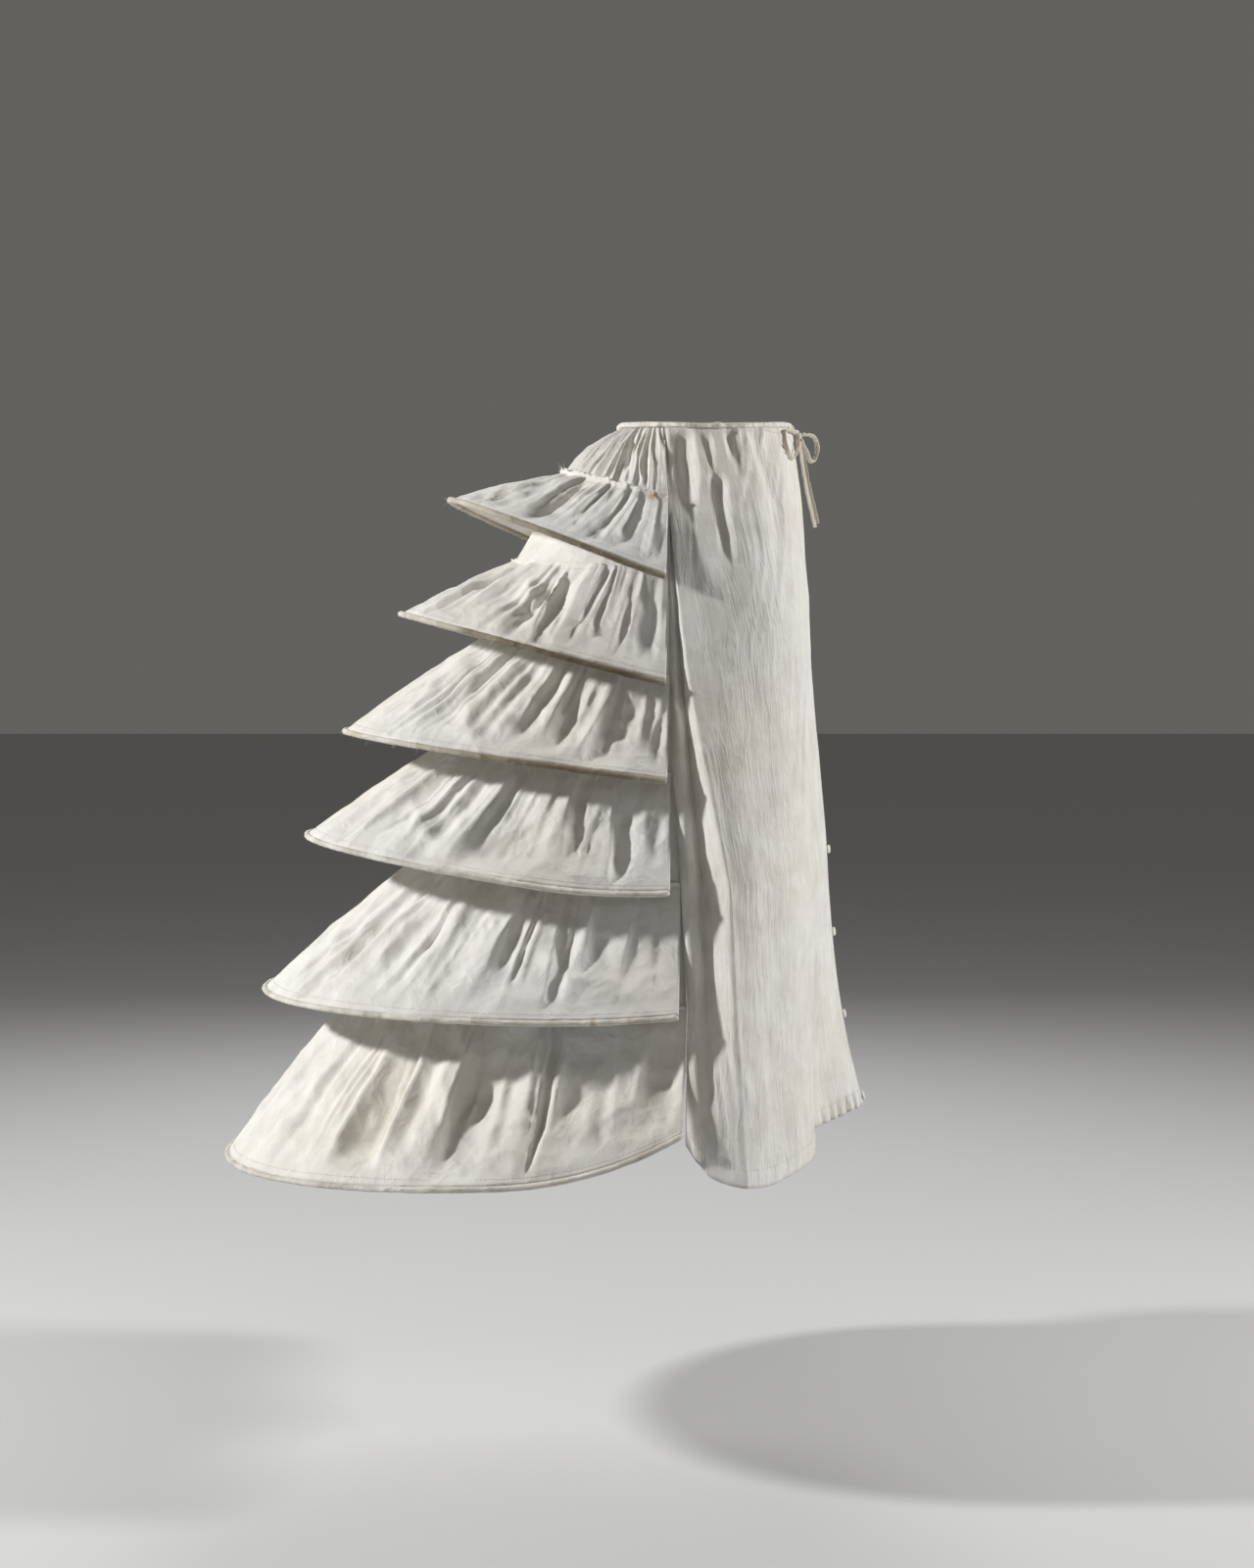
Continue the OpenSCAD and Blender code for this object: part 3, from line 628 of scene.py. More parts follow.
# %% Waist tape
SLIM_SHARE, FULL_SHARE = 0.58, 0.80
ROLL_SIDES, ROLL_POINTS = 16, 420
roll_drop = np.array([0, 0, TAPE_HEIGHT / 2 * (FULL_SHARE - SLIM_SHARE)])
end_turn = 180 - np.degrees(np.arcsin(TAPE_OPENING / WAIST_WIDTH))
turn = np.linspace(-end_turn, end_turn, ROLL_POINTS)
waist_path = waist_line(turn)
s = lengths(waist_path)
a = np.linspace(0, 2 * pi, ROLL_SIDES, endpoint=False)
section = np.empty((ROLL_POINTS, ROLL_SIDES, 2))
pucker = 0.0005 * crease(s / 0.006, 1.0, 21) + 0.0003 * noise(s / 0.0026, 5.0, 22)
joins = 0.0016 * np.exp(-((turn - 4) / 3.2) ** 2) + 0.0014 * np.exp(-((turn + 96) / 2.6) ** 2)
tall = TAPE_HEIGHT / 2 * (SLIM_SHARE + 0.05 * noise(s / 0.02, 9.0, 23)) + joins * 0.7
deep = TAPE_DEPTH / 2 * 0.92 + pucker + joins
section[..., 0] = rounded(np.cos(a), 0.55) * tall[:, None]
section[..., 1] = rounded(np.sin(a), 0.7) * deep[:, None]
waist_path = waist_path + UP * (0.0006 * noise(s / 0.03, 2.0, 24))[:, None] - roll_drop
waist_tape = swept("waist_tape_folded", waist_path, section, UP, cotton_tape)
finish_piece(waist_tape, "cotton_tape", "waist_tape")
print("waist round", round(float(s[-1]), 3), "m")

# %% [markdown]
# ## Drawstring
# The string runs round inside the waist tape and comes out at both ends to reach
# the knot. Only those ends show, so it could be left out inside. It is kept whole,
# as the solid model has it, and is narrowed where the slim roll has to cover it.

# %% Drawstring
DRAW_POINTS, NARROW_SHARE = 500, 0.55
ends = []
for hand in (-1, 1):
    leave = waist_line(hand * end_turn)
    seat = knot + np.array([-KNOT_D / 2 - SEAM_GAP, hand * STRING_THICK, STRING_THICK])
    ends.append([seat, mix(leave, seat, np.array([0.7, 0.5, 0.22]))])
inside_tape = waist_line(np.linspace(-end_turn, end_turn, 120)) - roll_drop
string_path = smooth_line(np.vstack([ends[0], inside_tape, ends[1][::-1]]), DRAW_POINTS)
string_section = flat_section(DRAW_POINTS, STRING_WIDTH, STRING_THICK)
from_end = np.minimum(np.arange(DRAW_POINTS), np.arange(DRAW_POINTS)[::-1])
narrow = mix(1, NARROW_SHARE, smooth(from_end / 14 - 0.4))
string_section *= np.stack([narrow, np.ones(DRAW_POINTS)], -1)[:, None]
drawstring = swept("drawstring_tape", string_path, string_section, UP, string_tape)
finish_piece(drawstring, "drawstring_tape", "drawstring")
print("drawstring", round(float(lengths(string_path)[-1]), 3), "m from knot to knot")

# %% [markdown]
# ## Folds hung between ridges
# Gathered cotton stands in sharp ridges, with a hollow slung between each two. A
# sine wave has ridges as round as its hollows and looks like corrugated sheet. So
# ridge lines are scattered first, and each gap gets a hollow that leans to one
# side. Dents, like the flat facets of paper, come on top.

# %% Ridges, hollows and dents
FULL_GAP = 0.012


def ridge_lines(rng, count, length, share, sway, wander):
    """Places of sharp ridges across the cloth, one row for each share of the way down."""
    base = np.sort((np.arange(count) + 0.5 + rng.uniform(-0.42, 0.42, count)) / count)
    base = np.concatenate([[-0.02], base, [1.02]]) * length
    step = length / count
    k = np.arange(len(base))[None]
    drift = rng.uniform(-sway, sway, len(base))[None] * (share - 0.3)
    return np.sort(base[None] + step * (drift + wander * noise(share * 3.1, k * 5.3 + count, count)), 1)


def scoops(place, lines, depth, lean, round_share):
    """Hollows between ridge lines: nothing on a ridge, deepest about half way to the next one."""
    folds = np.empty((len(lines), len(place)))
    for r in range(len(lines)):
        k = np.clip(np.searchsorted(lines[r], place) - 1, 0, lines.shape[1] - 2)
        a, b = lines[r][k], lines[r][k + 1]
        t = np.clip((place - a) / np.maximum(b - a, 1e-6), 0, 1) ** lean[k]
        hollow = abs(2 * t - 1) ** round_share[k] - 1
        folds[r] = hollow * depth[r][k] * np.clip((b - a) / FULL_GAP, 0.15, 1)
    return folds


def dents(x, y, seed):
    """Flat facets and small creases of papery cotton, x and y in metres."""
    a = crease((x + 0.5 * y) / 0.047, (y - 0.4 * x) / 0.062, seed)
    b = crease((x - 0.6 * y) / 0.026, (y + 0.3 * x) / 0.035, seed + 1)
    c = crease((x + 0.2 * y) / 0.012, (y - 0.7 * x) / 0.016, seed + 2)
    return 0.0027 * a + 0.0015 * b + 0.0006 * c


print("hollows reach their full depth in gaps of", FULL_GAP * 1000, "mm")

# %% [markdown]
# ## Yoke
# Between the waist and the first flounce the cloth is drawn up into many narrow
# gathers, and on the wearer's right it has a torn, bunched place. Gathers could be
# sculpted by hand. Two levels of hung folds were chosen, broad and fine, over a
# soft puff; the torn place is one deep slit with tight little gathers beside it.

# %% Yoke
YOKE_HALF_TURN, YOKE_SEED = 60, 7
TORN_DEPTH, BUNCH_HEIGHT, PUFF_HEIGHT = 0.0095, 0.0016, 0.0052
TUCK_IN = 0.001
rng = np.random.default_rng(YOKE_SEED)
side = np.linspace(-1, 1, 400)
share = np.linspace(0, 1, 34)[:, None]
arch = np.sin(pi * share)
top = waist_line(side * YOKE_HALF_TURN, TAPE_DEPTH / 2 - TUCK_IN) - [0, 0, TAPE_HEIGHT / 2 - TUCK_IN]
foot = sewn_line(0, side, 0.0005) + [0, 0, 0.0005]
yoke = mix(top[None], foot[None], share[..., None])
out = unit(yoke * PLAN - np.array([seam_x[0], 0, 0]) + [0, 0, 0.04])
width = lengths(foot)


def yoke_gathers(count, sway, wander, depths, fade, rounding):
    """One level of the yoke's gathers."""
    lines = ridge_lines(rng, count, width[-1], share, sway, wander)
    depth = np.broadcast_to(rng.uniform(*depths, count + 1)[None], (len(share), count + 1))
    lean = rng.uniform(0.7, 1.4, count + 1)
    return scoops(width, lines, depth * fade, lean, rng.uniform(*rounding, count + 1))


big = yoke_gathers(34, 0.5, 0.35, (0.002, 0.0062), 0.35 + 0.65 * arch ** 0.7, (1.3, 2.2))
small = yoke_gathers(78, 0.7, 0.4, (0.0005, 0.0024), 1.1 - 0.7 * arch, (1.5, 2.2))
puff = PUFF_HEIGHT * arch ** 0.8 * (0.7 + 0.3 * noise(width[None] / 0.05, share * 1.5, 40))
facets = dents(width[None], share * 0.08, 41) * 0.9 * arch
calm = 1 - smooth((abs(side[None]) - 0.96) / 0.04)
yoke += out * ((big + small + puff + facets) * (0.2 + 0.8 * calm))[..., None]
slit = np.clip((side[None] + 0.70 + 0.06 * (share - 0.5)) / 0.040, -1, 1)
torn = (0.5 + 0.5 * np.cos(pi * slit)) * smooth((share - 0.25) / 0.10) * smooth((0.90 - share) / 0.40)
near_tear = np.exp(-((side[None] + 0.82) / 0.07) ** 2 - ((share - 0.85) / 0.22) ** 2)
bunched = near_tear * crease(width[None] / 0.0042, share * 0.5, 42)
yoke += out * (BUNCH_HEIGHT * bunched - TORN_DEPTH * torn)[..., None]
yoke_piece = add_cloth("yoke_gathered", yoke, cotton_cloth)
finish_piece(yoke_piece, "cotton_cloth", "yoke")
yoke_wide = float(lengths(yoke, 1)[:, -1].max())

# %% [markdown]
# ## Back panel
# The flounces are sewn to a plain back panel, and a band of it shows under the
# first hoop. It could be left as the smooth solid, but flat cloth between two
# seams always sags a little. So it is stretched from seam to seam, with soft
# waves that die out where it is sewn.

# %% Back panel
BACK_STEPS, BACK_WIDTH, BACK_SAG, MIDDLE_ROW = 10, 0.75, 0.002, 24
side = np.linspace(-1, 1, 180)
seams = [sewn_line(i, side) - [0, 0, 0.0006] for i in range(TIERS)]
rows = [seams[0]]
for above, below in zip(seams, seams[1:]):
    rows += [mix(above, below, k / BACK_STEPS) for k in range(1, BACK_STEPS + 1)]
back = np.stack(rows)
out = unit(back * PLAN - np.array([-0.03, 0, 0]))
wide = lengths(back[MIDDLE_ROW])[None]
down = lengths(back, 0).mean(1)[:, None]
sag = np.sin(pi * (np.arange(len(rows)) % BACK_STEPS) / BACK_STEPS)[:, None]
ripple = 0.0022 * noise(wide / 0.045, down / 0.25, 51) + 0.0009 * crease(wide / 0.02, down / 0.08, 52)
back += out * (ripple * sag - BACK_SAG * sag)[..., None]
back_piece = add_cloth("back_panel_cloth", back, cotton_cloth)
finish_piece(back_piece, "cotton_cloth", "back_panel")

# %% [markdown]
# ## Folds of a flounce
# A flounce is a strip that is longer than the line it is sewn to. It is drawn up
# there into gathers, and the hoop stretches its other edge smooth. A simulation
# would find such folds by itself, but not the same ones each time. Four levels of
# hung folds were chosen: broad ones, finer ones, the puckers of the gathering
# thread, and some that hang from the middle down.

# %% Folds of a flounce
def fold_levels(i):
    """For each level: count, depth, where it is deepest, where it ends, depth at the seam and at the back."""
    return ((18, 0.0135 + 0.0026 * i, (0.40, 0.78), 1.05, (0.25, 0.60), 0.26),
            (38 + 2 * i, 0.0064 + 0.0003 * i, (0.15, 0.50), 1.00, (0.40, 0.80), 0.55),
            (84 + 4 * i, 0.0024, (0.02, 0.06), 0.34, (0.60, 1.00), 1.00),
            (30 + 2 * i, 0.0042, (0.55, 0.85), 1.06, (0.45, 0.90), 1.00))


def flounce_folds(i, place, share, behind):
    """Depth of the folds of flounce i; behind is 0 at the middle of the back and 1 at the sides."""
    rng = np.random.default_rng(100 + i)
    folds = np.zeros((len(share), len(place)))
    for count, deepest, peaks, last, starts, at_back in fold_levels(i):
        lines = ridge_lines(rng, count, place[-1], share, 0.55, 0.07)
        peak = rng.uniform(*peaks, count + 1)[None]
        start = rng.uniform(*starts, count + 1)[None]
        last = last * rng.uniform(0.88, 1.0, count + 1)[None]
        fade = mix(start, 1, np.clip(share / peak, 0, 1)) * np.clip((last - share) / (last - peak), 0, 1)
        deep_each = deepest * rng.uniform(0.12, 1.0, count + 1) ** 1.2
        lean = rng.uniform(0.8, 2.3, count + 1)
        level = scoops(place, lines, deep_each[None] * fade, lean, rng.uniform(1.2, 2.0, count + 1))
        folds += level * mix(at_back, 1, behind)
    return folds - 0.55 * folds.mean(1, keepdims=True)


def heading(i, seam, away, place):
    """Rows of the small frill that stands up over the seam, tall and frayed on the first flounce."""
    frayed = 0.6 if i == 0 else 0.25
    frill_rows = []
    for lift in (0.0055, 0.0038, 0.0019):
        frill = 0.0016 * crease(place / 0.0065, lift * 400, 80 + i)
        frill = frill + 0.0012 * noise(place / 0.003, lift * 300, 90 + i)
        lean_out = frayed * (0.0014 + frill * lift / 0.004)
        stand = lift * (0.35 + 0.45 * frayed) * (1 + 0.35 * noise(place / 0.008, 3.3, 95 + i))
        frill_rows.append(seam + away * lean_out[:, None] + UP * stand[:, None])
    return np.stack(frill_rows)


print("folds on the last flounce", [level[0] for level in fold_levels(TIERS - 1)])

# %% [markdown]
# ## Flounces
# Each flounce is stretched straight from its seam to its hoop, and then the folds
# push it in and out. The push could follow the mesh's own normals, but those turn
# with every fold. It follows one direction for each place along the hoop, so that
# the folds never cross, and it fades where the cloth is held.

# %% Flounces
ROW_HEIGHT, HEM_ALLOWANCE = 0.0036, 1.02
flounce_grids = []
for i in range(TIERS):
    cols = 328 + 20 * i
    side = np.linspace(-1, 1, cols)
    from_back = abs(side[None])
    top = sewn_line(i, side, 0.0022)
    rim = hoop_line(i, side)
    foot = rim + unit(top - rim) * (CASING_R - 0.0002)
    deep = np.linalg.norm(top - foot, axis=-1)
    rows = int(round(deep.mean() / ROW_HEIGHT))
    share = np.linspace(0, 1, rows)[:, None]
    g = mix(top[None], foot[None], share[..., None])
    away = -unit(np.cross(unit(np.gradient(rim, axis=0)), unit(top - rim)))
    place = lengths(rim)
    long_top, long_rim = lengths(top)[-1], place[-1]
    behind = smooth((from_back - 0.06) / 0.3)
    room = np.linalg.norm((foot - top) * PLAN, axis=-1)[None] * share
    folds = np.maximum(flounce_folds(i, place, share, behind), -0.6 * room - 0.0012)
    crumple = dents(place[None] * mix(long_top / long_rim, 1, share), share * deep.mean(), 60 + 7 * i)
    crumple = crumple * np.sin(pi * share) ** 0.6
    hold = np.clip((1 - share) / 0.06, 0, 1)
    ends_flat = (1 - 0.4 * smooth((from_back - 0.75) / 0.2)) * (1 - smooth((from_back - 0.97) / 0.03))
    g += away[None] * ((folds + crumple * mix(0.5, 1, behind)) * hold * ends_flat)[..., None]
    g = np.concatenate([heading(i, g[0], away, place), g])
    piece = add_cloth(f"flounce_{i + 1}_cloth", g, cotton_cloth)
    finish_piece(piece, "cotton_cloth", f"flounce_{i + 1}")
    flounce_grids.append(g)
    print(f"flounce {i + 1}: seam {long_top:.3f} m, hoop {long_rim:.3f} m, {rows} by {cols} points")

# %% [markdown]
# ## Hoop casings
# Along each flounce's lower edge the cloth is folded over the steel wire and
# bound. The casing could be a plain tube, but bound cloth has puckers and a slight
# twist, so noise that turns along the hoop changes its radius. The wire inside is
# hidden, keeps the solid model's shape and only takes the steel finish.

# %% Casings and steel
CASING_SIDES, CASING_POINTS, TWIST_LENGTH, END_LENGTH = 12, 400, 0.02, 0.002
for i in range(TIERS):
    path = hoop_line(i, np.linspace(-1, 1, CASING_POINTS))
    s = lengths(path)
    a = np.linspace(0, 2 * pi, CASING_SIDES, endpoint=False)
    twist = a[None] + s[:, None] / TWIST_LENGTH
    r = CASING_R * (0.94 + 0.10 * noise(twist * 1.3, s[:, None] / 0.012, 130 + i)
                    + 0.06 * crease(s[:, None] / 0.005, a[None] * 0.8, 140 + i))
    close = np.clip(np.minimum(s, s[-1] - s) / END_LENGTH, 0, 1)
    r = r * (0.45 + 0.55 * np.sqrt(1 - (1 - close) ** 2))[:, None]
    section = np.stack([np.cos(a)[None] * r, np.sin(a)[None] * r], -1)
    # The upper casings take worn cloth with painted shade; the lower ones take a greyer cloth.
    finish = casing_worn_shaded if i < WORN_SHADED_TIERS else casing_greyer
    piece = swept(f"hoop_casing_{i + 1}_bound", path, section, UP, finish)
    finish_piece(piece, "cotton_tape", f"hoop_casing_{i + 1}")
    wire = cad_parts[f"hoop_steel_{i + 1}"]
    wire.data.materials.clear()
    wire.data.materials.append(steel)
print("casings", TIERS)

# %% [markdown]
# ## Outlines of the front
# Two panels hang from the waist and lap at the middle, right over left. A long
# pleat beside the side seam stands out with a crisp edge, and the hem rises from
# it to the front edge. A box of points could be sculpted to this shape; instead
# the cloth is lofted through four plan outlines, at the waist, hip, knee and hem,
# given as shares of the reach to the front and to the side.

# %% Front outlines
OUTLINES = np.array([
    [(-0.5, 0.866), (-0.48, 0.878), (-0.46, 0.888), (-0.44, 0.898), (-0.276, 0.961),
     (0.2, 0.98), (0.64, 0.768), (0.9, 0.436), (1, 0)],
    [(-0.36, 0.845), (-0.33, 0.885), (-0.28, 0.865), (-0.215, 0.985), (0.2, 0.975),
     (0.58, 0.9), (0.87, 0.7), (0.97, 0.36), (1, 0)],
    [(-0.33, 0.85), (-0.18, 0.92), (-0.06, 0.85), (0.05, 0.99), (0.4, 0.945),
     (0.68, 0.76), (0.83, 0.53), (0.91, 0.27), (1, 0)],
    [(-0.14, 0.955), (-0.08, 0.978), (0, 0.992), (0.1, 1), (0.37, 0.915),
     (0.58, 0.73), (0.61, 0.48), (0.68, 0.25), (1, 0)]])
HEIGHTS = (0, 0.28, 0.62, 1)
FRONT_SHARES = (0.55, 0.611, 0.64, 0.66, 0.693, 0.73, 0.765, 0.79, 0.83, 0.898, 1)
SIDE_SHARES = (0.378, 0.49, 0.575, 0.635, 0.69, 0.745, 0.8, 0.85, 0.9, 0.95, 1)
HEM_SHARES = (0, 0.5, 0.85, 1, 1, 0.52, 0.2, 0.1, 0)
HEM_DIP = np.array([0, 0, 0, 0, 0, 0.003, 0.008, 0.010, 0])
hem_ends = [SEAM_DROP] * 4 + [FRONT_DROP] * 5
hem_drops = HEM_DIP + [mix(end, SIDE_DROP, h) for end, h in zip(hem_ends, HEM_SHARES)]
seam_top = waist_line(YOKE_HALF_TURN, TAPE_DEPTH / 2 - TUCK_IN) - [0, 0, TAPE_HEIGHT / 2 + 0.0009]
seam_foot = hoop_line(TIERS - 1, 1.0) + [CASING_R / 2, -CASING_R - SEAM_GAP, 0]
seam_path = np.vstack([seam_top, [sewn_line(i, 1.0) for i in range(TIERS)], seam_foot])


def smooth_table(table, share):
    """A smooth curve through a table of shares, from 0 at its first row to 1 at full size."""
    line = smooth_line(np.asarray(table, float)[:, None], 401)[:, 0]
    return (np.interp(share, np.linspace(0, 1, 401), line) - table[0]) / (1 - table[0])


def front_outline(v):
    """Plan points (x, y, z) of the left half at share v of the way down, with the pleat's edge made sharp."""
    k = max(j for j in range(3) if v >= HEIGHTS[j])
    shares = mix(OUTLINES[k], OUTLINES[k + 1], (v - HEIGHTS[k]) / (HEIGHTS[k + 1] - HEIGHTS[k]))
    ahead = mix(WAIST_DEPTH / 2, FRONT_REACH, smooth_table(FRONT_SHARES, v))
    beside = mix(WAIST_WIDTH / 2, SIDE_REACH, smooth_table(SIDE_SHARES, v))
    z = mix(-TAPE_HEIGHT / 2 + TUCK_IN - WAIST_DIP * OUTLINES[0][:, 1] ** 2, -hem_drops, v)
    p = np.column_stack([shares[:, 0] * ahead, shares[:, 1] * beside, z])
    p[-1, 1] += FRONT_LAP / 2
    p[0, 0] = np.interp(-z[0], -seam_path[:, 2], seam_path[:, 0]) + 0.0012
    p[0, 1] = np.interp(-z[0], -seam_path[:, 2], seam_path[:, 1])
    sharp = np.sin(pi * np.clip(v, 0, 1) ** 0.7)
    crest = p[3] + np.array([-0.004, 0.002, 0]) * sharp + [0.014 * smooth((v - 0.25) / 0.4), 0, 0]
    return np.vstack([p[:3], mix(p[2], crest, 0.7), crest, mix(crest, p[4], 0.12), p[4:]])


PANEL_ROWS, GUIDE_COLS = 178, 700
panel_shares = np.linspace(0, 1, PANEL_ROWS)
guide = np.stack([smooth_line(front_outline(v), GUIDE_COLS) for v in panel_shares])
print("front hem", np.round(guide[-1, -1], 3).tolist())

# %% [markdown]
# ## Cutting a front panel
# A panel is sewn from one width of cotton and ends in a straight lap strip. All
# its columns could be equally wide. The hem's small tucks near the front need
# finer ones, so the last columns are packed closer. The hem is eased along its
# length, as a cut edge has no corners, and the two laps lie one over the other.

# %% Cutting a front panel
FINE_WIDTH, FINE_COLS, BROAD_COLS = 0.075, 52, 148
LAP_COLS, LAP_LIFT, LAP_FROM = 6, 0.0010, 0.8
EASE_COLS, EASE_REACH = 11.0, 30


def cut_panel(layer):
    """The smooth panel, its share of flatness near the lap, and the column of the pleat's edge."""
    s = lengths(guide[int(PANEL_ROWS * 0.7)])
    fine_from = s[-1] - FINE_WIDTH
    at = np.append(np.linspace(0, fine_from, BROAD_COLS, endpoint=False),
                   np.linspace(fine_from, s[-1], FINE_COLS))
    pick = np.interp(at, s, np.arange(GUIDE_COLS))
    lo = np.minimum(pick.astype(int), GUIDE_COLS - 2)
    g = mix(guide[:, lo], guide[:, lo + 1], (pick - lo)[None, :, None])
    hem = g[-1, :, 2]
    bell = np.exp(-(np.arange(-EASE_REACH, EASE_REACH + 1) / EASE_COLS) ** 2)
    padded = np.pad(hem, EASE_REACH, mode="reflect", reflect_type="odd")
    eased = np.convolve(padded, bell / bell.sum(), mode="valid")
    g[..., 2] += (eased - hem) * smooth((panel_shares[:, None] - 0.75) / 0.25)
    edge = g[:, -1:]
    strip = [mix(edge, edge * [1, -1, 1], k / LAP_COLS) for k in range(1, LAP_COLS + 1)]
    g = np.concatenate([g] + strip, 1)
    flat = np.append(np.clip((at / s[-1] - LAP_FROM) / (1 - LAP_FROM), 0, 1), np.ones(LAP_COLS))
    g[..., 0] += layer * LAP_LIFT * flat[None]
    return g, flat[None], np.searchsorted(pick, 0.4 * (GUIDE_COLS - 1))


print("panel columns", BROAD_COLS + FINE_COLS + LAP_COLS)

# %% [markdown]
# ## Creases of a front panel
# The cotton is covered with fine upright crinkles. Deep hollows run down from the
# waist beside the pleat, the string's casing puckers the top, and the hem is
# drawn into small tucks near the front. Bump alone could show all this, but the
# larger creases have to catch the light at the edge, so they are moved points;
# only the finest stay in the material.

# %% Creases of a front panel
# Hollows under the waist: distance from the pleat's edge, slant, half width, depth, top and foot
GATHER_FOLDS = ((0.015, 0.03, 0.015, 0.0105, 0.000, 0.125), (0.039, 0.05, 0.008, 0.0045, 0.010, 0.062),
                (0.060, 0.15, 0.010, 0.0065, 0.000, 0.060), (0.044, 0.05, 0.012, 0.0065, 0.055, 0.180),
                (0.085, 0.30, 0.012, 0.0030, 0.000, 0.100), (0.104, 0.05, 0.022, 0.0030, 0.010, 0.160))
HEM_HEIGHT, TUCK_PITCH, TUCK_DEPTH = 0.0145, 0.0135, 0.0056


def casing_height(to_front):
    """Height of the string's casing at the panel's top: tall at the front, narrow at the side."""
    return 0.005 + 0.010 * (1 - smooth(to_front / 0.12))


def crinkles(across, down, seed):
    """Fine upright crinkles in patches, and a few slanting creases."""
    wave = across + 0.008 * noise(across / 0.05, down / 0.08, seed + 6)
    fine = 0.0012 * crease(wave / 0.0165, down / 0.11, seed + 1)
    fine = fine + 0.0005 * crease(wave / 0.008, down / 0.06, seed + 2)
    fine *= 0.25 + 0.75 * smooth(0.5 + 0.9 * noise(across / 0.07, down / 0.16, seed + 9))
    return fine + 0.0006 * crease((across + 0.8 * down) / 0.045, (down - 0.5 * across) / 0.035, seed + 7)


def waist_hollows(across, down, fold_edge, seed):
    """Drag lines from the waist and the deep hollows beside the pleat."""
    drag = 0.0016 * crease((across - 0.30 * down) / 0.04, down / 0.25, seed + 3) * np.exp(-down / 0.13)
    for start, slope, wide, deep, top, foot in GATHER_FOLDS:
        inside = np.clip((across - fold_edge - start - slope * down) / wide, -1, 1)
        length = smooth((down - top) / 0.012 + 0.5) * smooth((foot - down) / (foot - top) * 1.6)
        drag -= deep * (0.5 + 0.5 * np.cos(pi * inside)) * length
    return drag


def hem_relief(across, to_hem, to_front, seed):
    """The hem's folded band, with its small tucks near the front edge."""
    band = 0.0005 * np.clip((HEM_HEIGHT - to_hem) / 0.0008, 0, 1)
    band = band + 0.0008 * noise(across / 0.012, to_hem / 0.02, seed + 5) * np.exp(-to_hem / 0.03)
    tuck = to_front / TUCK_PITCH + 0.35 * noise(to_front / 0.020, 0.5, seed + 8)
    pucker = 0.0010 - TUCK_DEPTH * np.exp(-((tuck % 1 - 0.5) / 0.145) ** 2)
    pucker *= np.exp(-(to_hem / 0.016) ** 4 - (to_front / 0.090) ** 4) * smooth((to_front - 0.018) / 0.010)
    return band + pucker


print("hollows under the waist", len(GATHER_FOLDS), "on each side")

# %% [markdown]
# ## Front panels
# The left panel is made first and the right one is its mirror, with other creases
# and its lap on top. A mirror modifier would repeat each crease, which cloth never
# does. So both are built by one function with seeds of their own.

# %% Front panels
def front_panel(hand, layer, seed):
    """A creased panel: hand is 1 for the left and -1 for the right, layer is 1 for the upper lap."""
    g, flat, edge_col = cut_panel(layer)
    across, down = lengths(g, 1), lengths(g, 0)
    to_hem, to_front = down[-1:] - down, across[:, -1:] - across
    v = panel_shares[:, None]
    hang = 0.0034 * noise(across / 0.06, down / 0.45, seed) * smooth(v / 0.2) * (0.5 + v)
    drag = waist_hollows(across, down, across[:, edge_col][:, None], seed)
    tucks = 0.0018 * crease(across / 0.010, down / 0.2, seed + 4) * np.exp(-down / 0.04)
    casing = 0.0007 * np.clip((casing_height(to_front) - down) / 0.0015, 0, 1)
    calm = np.clip(v / 0.009, 0, 1) * np.clip(across / 0.01, 0, 1) * (1 - 0.85 * flat)
    relief = (hang + crinkles(across, down, seed) + drag + tucks) * calm
    relief = relief + hem_relief(across, to_hem, to_front, seed) + casing
    g = g - grid_normals(g) * relief[..., None]
    g[..., 1] *= hand
    return g if hand > 0 else g[:, ::-1]


panels = {}
for name, hand, layer, seed in (("front_panel_left", 1, -1, 200), ("front_panel_right", -1, 1, 300)):
    g = front_panel(hand, layer, seed)
    piece = add_cloth(name + "_cloth", g, front_cloth)
    finish_piece(piece, "cotton_cloth", name)
    panels[name] = g

# %% [markdown]
# ## Buttons
# Four small cloth-covered buttons close the lower front. Each is a flat disc with
# a rolled edge and a sunk middle. A bevelled cylinder would come close; a profile
# that is turned round the button's axis gives the rolled edge and the sunk middle
# with few points.

# %% Buttons
BUTTON_D, BUTTON_THICK, BUTTON_SIDES = 0.009, 0.0026, 28
BUTTON_COUNT, LOWEST_BUTTON, BUTTON_PITCH = 4, 0.682, 0.0847
BUTTON_PROFILE = ((0, 0.62), (0.22, 0.60), (0.42, 0.66), (0.62, 0.86), (0.8, 1.0), (0.92, 0.9), (1, 0.55),
                  (0.95, 0.2), (0.7, 0.05), (0, 0.0))
button_places = [(LOWEST_BUTTON - k * BUTTON_PITCH) / FRONT_DROP for k in range(BUTTON_COUNT)]


def front_middle(v):
    """The middle of the lap at share v of the way down."""
    edge = front_outline(v)[-1]
    return np.array([edge[0] + 0.0008, 0, edge[2]])


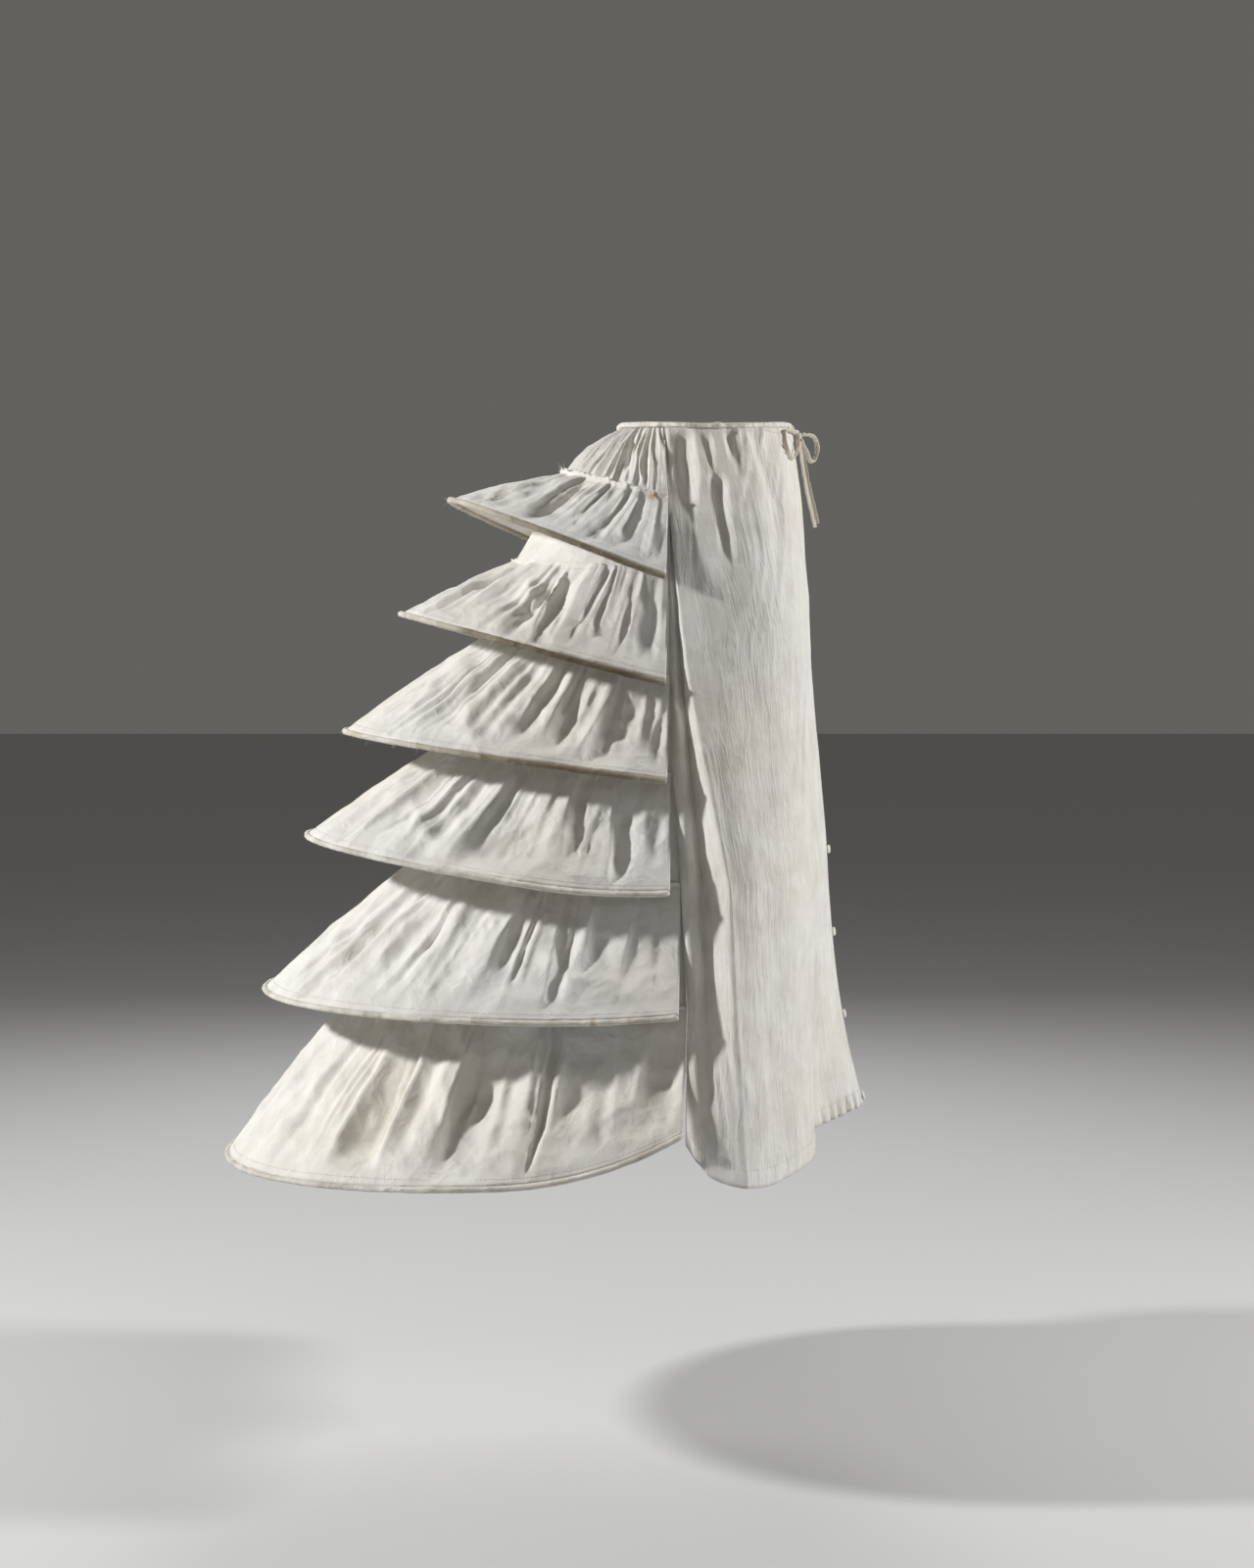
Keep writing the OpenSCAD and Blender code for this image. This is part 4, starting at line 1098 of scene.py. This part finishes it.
points, faces = [], []
for v in button_places:
    slope = unit(front_middle(v - 0.01) - front_middle(v + 0.01))
    n = unit(np.cross([0, 1, 0], slope) - [0, 0.3, 0])
    across = np.cross(slope, n)
    seat = front_middle(v) + n * 0.0018 - [0, 0.005, 0]
    first = len(points)
    for r, h in BUTTON_PROFILE:
        for b in 2 * pi * np.arange(BUTTON_SIDES) / BUTTON_SIDES:
            rim = (np.cos(b) * across + np.sin(b) * slope) * r * BUTTON_D / 2
            points.append(seat + rim + n * h * BUTTON_THICK)
    for low in range(first, len(points) - BUTTON_SIDES, BUTTON_SIDES):
        for j in range(BUTTON_SIDES):
            c, d = low + j, low + (j + 1) % BUTTON_SIDES
            faces.append((c, c + BUTTON_SIDES, d + BUTTON_SIDES, d))
buttons = add_object("buttons_covered", points, faces, cotton_tape)
finish_piece(buttons, "covered_button", "buttons")
print("buttons at", [round(front_middle(v)[2], 3) for v in button_places])

# %% [markdown]
# ## Stitching
# The seams are sewn by hand with running stitches: along each flounce's gathers
# and just above its casing, along the front hem, under the string's casing at the
# top of the front, and twice beside the lap. A texture could show them, but it
# would have no height. Each row follows a line of the finished cloth instead.

# %% Stitches
STITCH_LIFT, LAP_STITCH_LIFT = 0.0004, 0.0005
stitch_rows = 0
for i, g in enumerate(flounce_grids):
    for name, row in ((f"gather_stitches_{i + 1}", 4), (f"hem_stitches_{i + 1}", -3)):
        n = grid_normals(g)[row]
        n = n * np.sign(np.sum(n * (g[row] - [0, 0, -0.4]), -1, keepdims=True))
        finish_piece(add_stitches(name, g[row] + n * STITCH_LIFT, n, thread), "cotton_cloth")
        stitch_rows += 1
for name, g in panels.items():
    n = grid_normals(g)
    n = n * np.sign(np.sum(n * g * PLAN, -1, keepdims=True))
    hem_row = g[-5] + n[-5] * STITCH_LIFT
    finish_piece(add_stitches(name + "_hem_stitches", hem_row, n[-5], thread), "cotton_cloth")
    across, down = lengths(g, 1), lengths(g, 0)
    to_front = across[0] if "right" in name else across[0, -1] - across[0]
    heights = casing_height(to_front) - 0.001
    row = np.array([np.interp(h, down[:, c], np.arange(len(g))) for c, h in enumerate(heights)])
    low, cols = row.astype(int), np.arange(g.shape[1])
    up = n[low, cols]
    line = mix(g[low, cols], g[low + 1, cols], (row - low)[:, None]) + up * LAP_STITCH_LIFT
    keep = (to_front > 0.02) & (to_front < 0.15)
    finish_piece(add_stitches(name + "_casing_stitches", line[keep], up[keep], thread), "cotton_cloth")
    stitch_rows += 2
g = panels["front_panel_right"][:-3]
n = np.broadcast_to([1.0, 0, 0], g[:, 0].shape)
for name, col in (("lap_stitches_edge", 1), ("lap_stitches_inner", 5)):
    finish_piece(add_stitches(name, g[:, col] + n * LAP_STITCH_LIFT, n, thread), "cotton_cloth")
    stitch_rows += 1
print("stitch rows", stitch_rows)

# %% [markdown]
# ## Loose threads
# The first flounce's heading is frayed, and so are the casings of the first and
# the third. A hair system could grow the threads; a small mesh with thin, curled
# ends is lighter and can be handed on with the model.

# %% Loose threads
HEADING_THREADS, HEADING_FRAY, CASING_FRAY = 130, 0.006, 0.0045
FRAYED_CASINGS = ((0, 60), (2, 130))
rng = np.random.default_rng(900)
top = flounce_grids[0][0]
starts = top[rng.integers(4, len(top) - 4, HEADING_THREADS)]
aims = UP + 0.5 * unit(starts * PLAN)
finish_piece(add_threads("frayed_heading", starts, aims, HEADING_FRAY, thread, 901), "cotton_cloth")
for i, count in FRAYED_CASINGS:
    where = hoop_line(i, rng.uniform(-0.97, 0.97, count))
    out = unit(where * PLAN + [0.03, 0, 0])
    low = rng.uniform(-1.0, 0.2, count)[:, None]
    aim = unit(out * (1 - abs(low)) + UP * low)
    starts = where + aim * CASING_R * 0.9
    piece = add_threads(f"frayed_casing_{i + 1}", starts, aim, CASING_FRAY, thread, 910 + i)
    finish_piece(piece, "cotton_tape")
print("loose threads", HEADING_THREADS + sum(count for i, count in FRAYED_CASINGS))

# %% [markdown]
# ## Studio
# A plain pale floor lies well below the hem, because the bustle hangs from a
# waist. One big soft light would flatten the folds, and a sun would cut them too
# hard. So two fairly small lamps stand at the sides and rake across the cloth,
# with a weak fill from the front, one from behind and a dim warm sky.

# %% Floor and light
FLOOR_Z, FLOOR_HALF = -1.033, 40
floor_material, floor_nodes = new_material("floor")[:2]
floor_nodes["Principled BSDF"].inputs["Roughness"].default_value = 0.95
floor_nodes["Principled BSDF"].inputs["Base Color"].default_value = (0.58, 0.58, 0.58, 1)
corners = [(x * FLOOR_HALF, y * FLOOR_HALF, FLOOR_Z) for x, y in ((-1, -1), (1, -1), (1, 1), (-1, 1))]
floor = add_object("floor", corners, [(0, 1, 2, 3)], floor_material)


def area_light(name, place, aim, size, power):
    """A round lamp that looks from its place at its aim."""
    lamp = bpy.data.objects.new(name, bpy.data.lights.new(name, "AREA"))
    lamp.data.shape, lamp.data.size, lamp.data.energy = "DISK", size, power
    lamp.location = place
    d = np.array(aim) - np.array(place)
    lamp.rotation_euler = (np.arctan2(np.hypot(d[0], d[1]), -d[2]), 0, np.arctan2(d[1], d[0]) - pi / 2)
    bpy.context.collection.objects.link(lamp)


middle = (-0.15, 0, -0.4)
area_light("left_key", (-2.6, -0.55, 0.75), middle, 0.22, 74)
area_light("right_key", (2.5, -0.30, 0.7), middle, 0.4, 60)
area_light("front_fill", (0.3, -3.2, 0.8), middle, 1.6, 4)
area_light("back", (-0.3, 2.6, 1.2), middle, 1.2, 30)
world = bpy.data.worlds.new("studio")
bpy.context.scene.world = world
world.use_nodes = True
sky = world.node_tree.nodes["Background"]
sky.inputs["Color"].default_value = (0.83, 0.80, 0.745, 1)
sky.inputs["Strength"].default_value = 0.15
bpy.context.scene.view_settings.view_transform = "Standard"
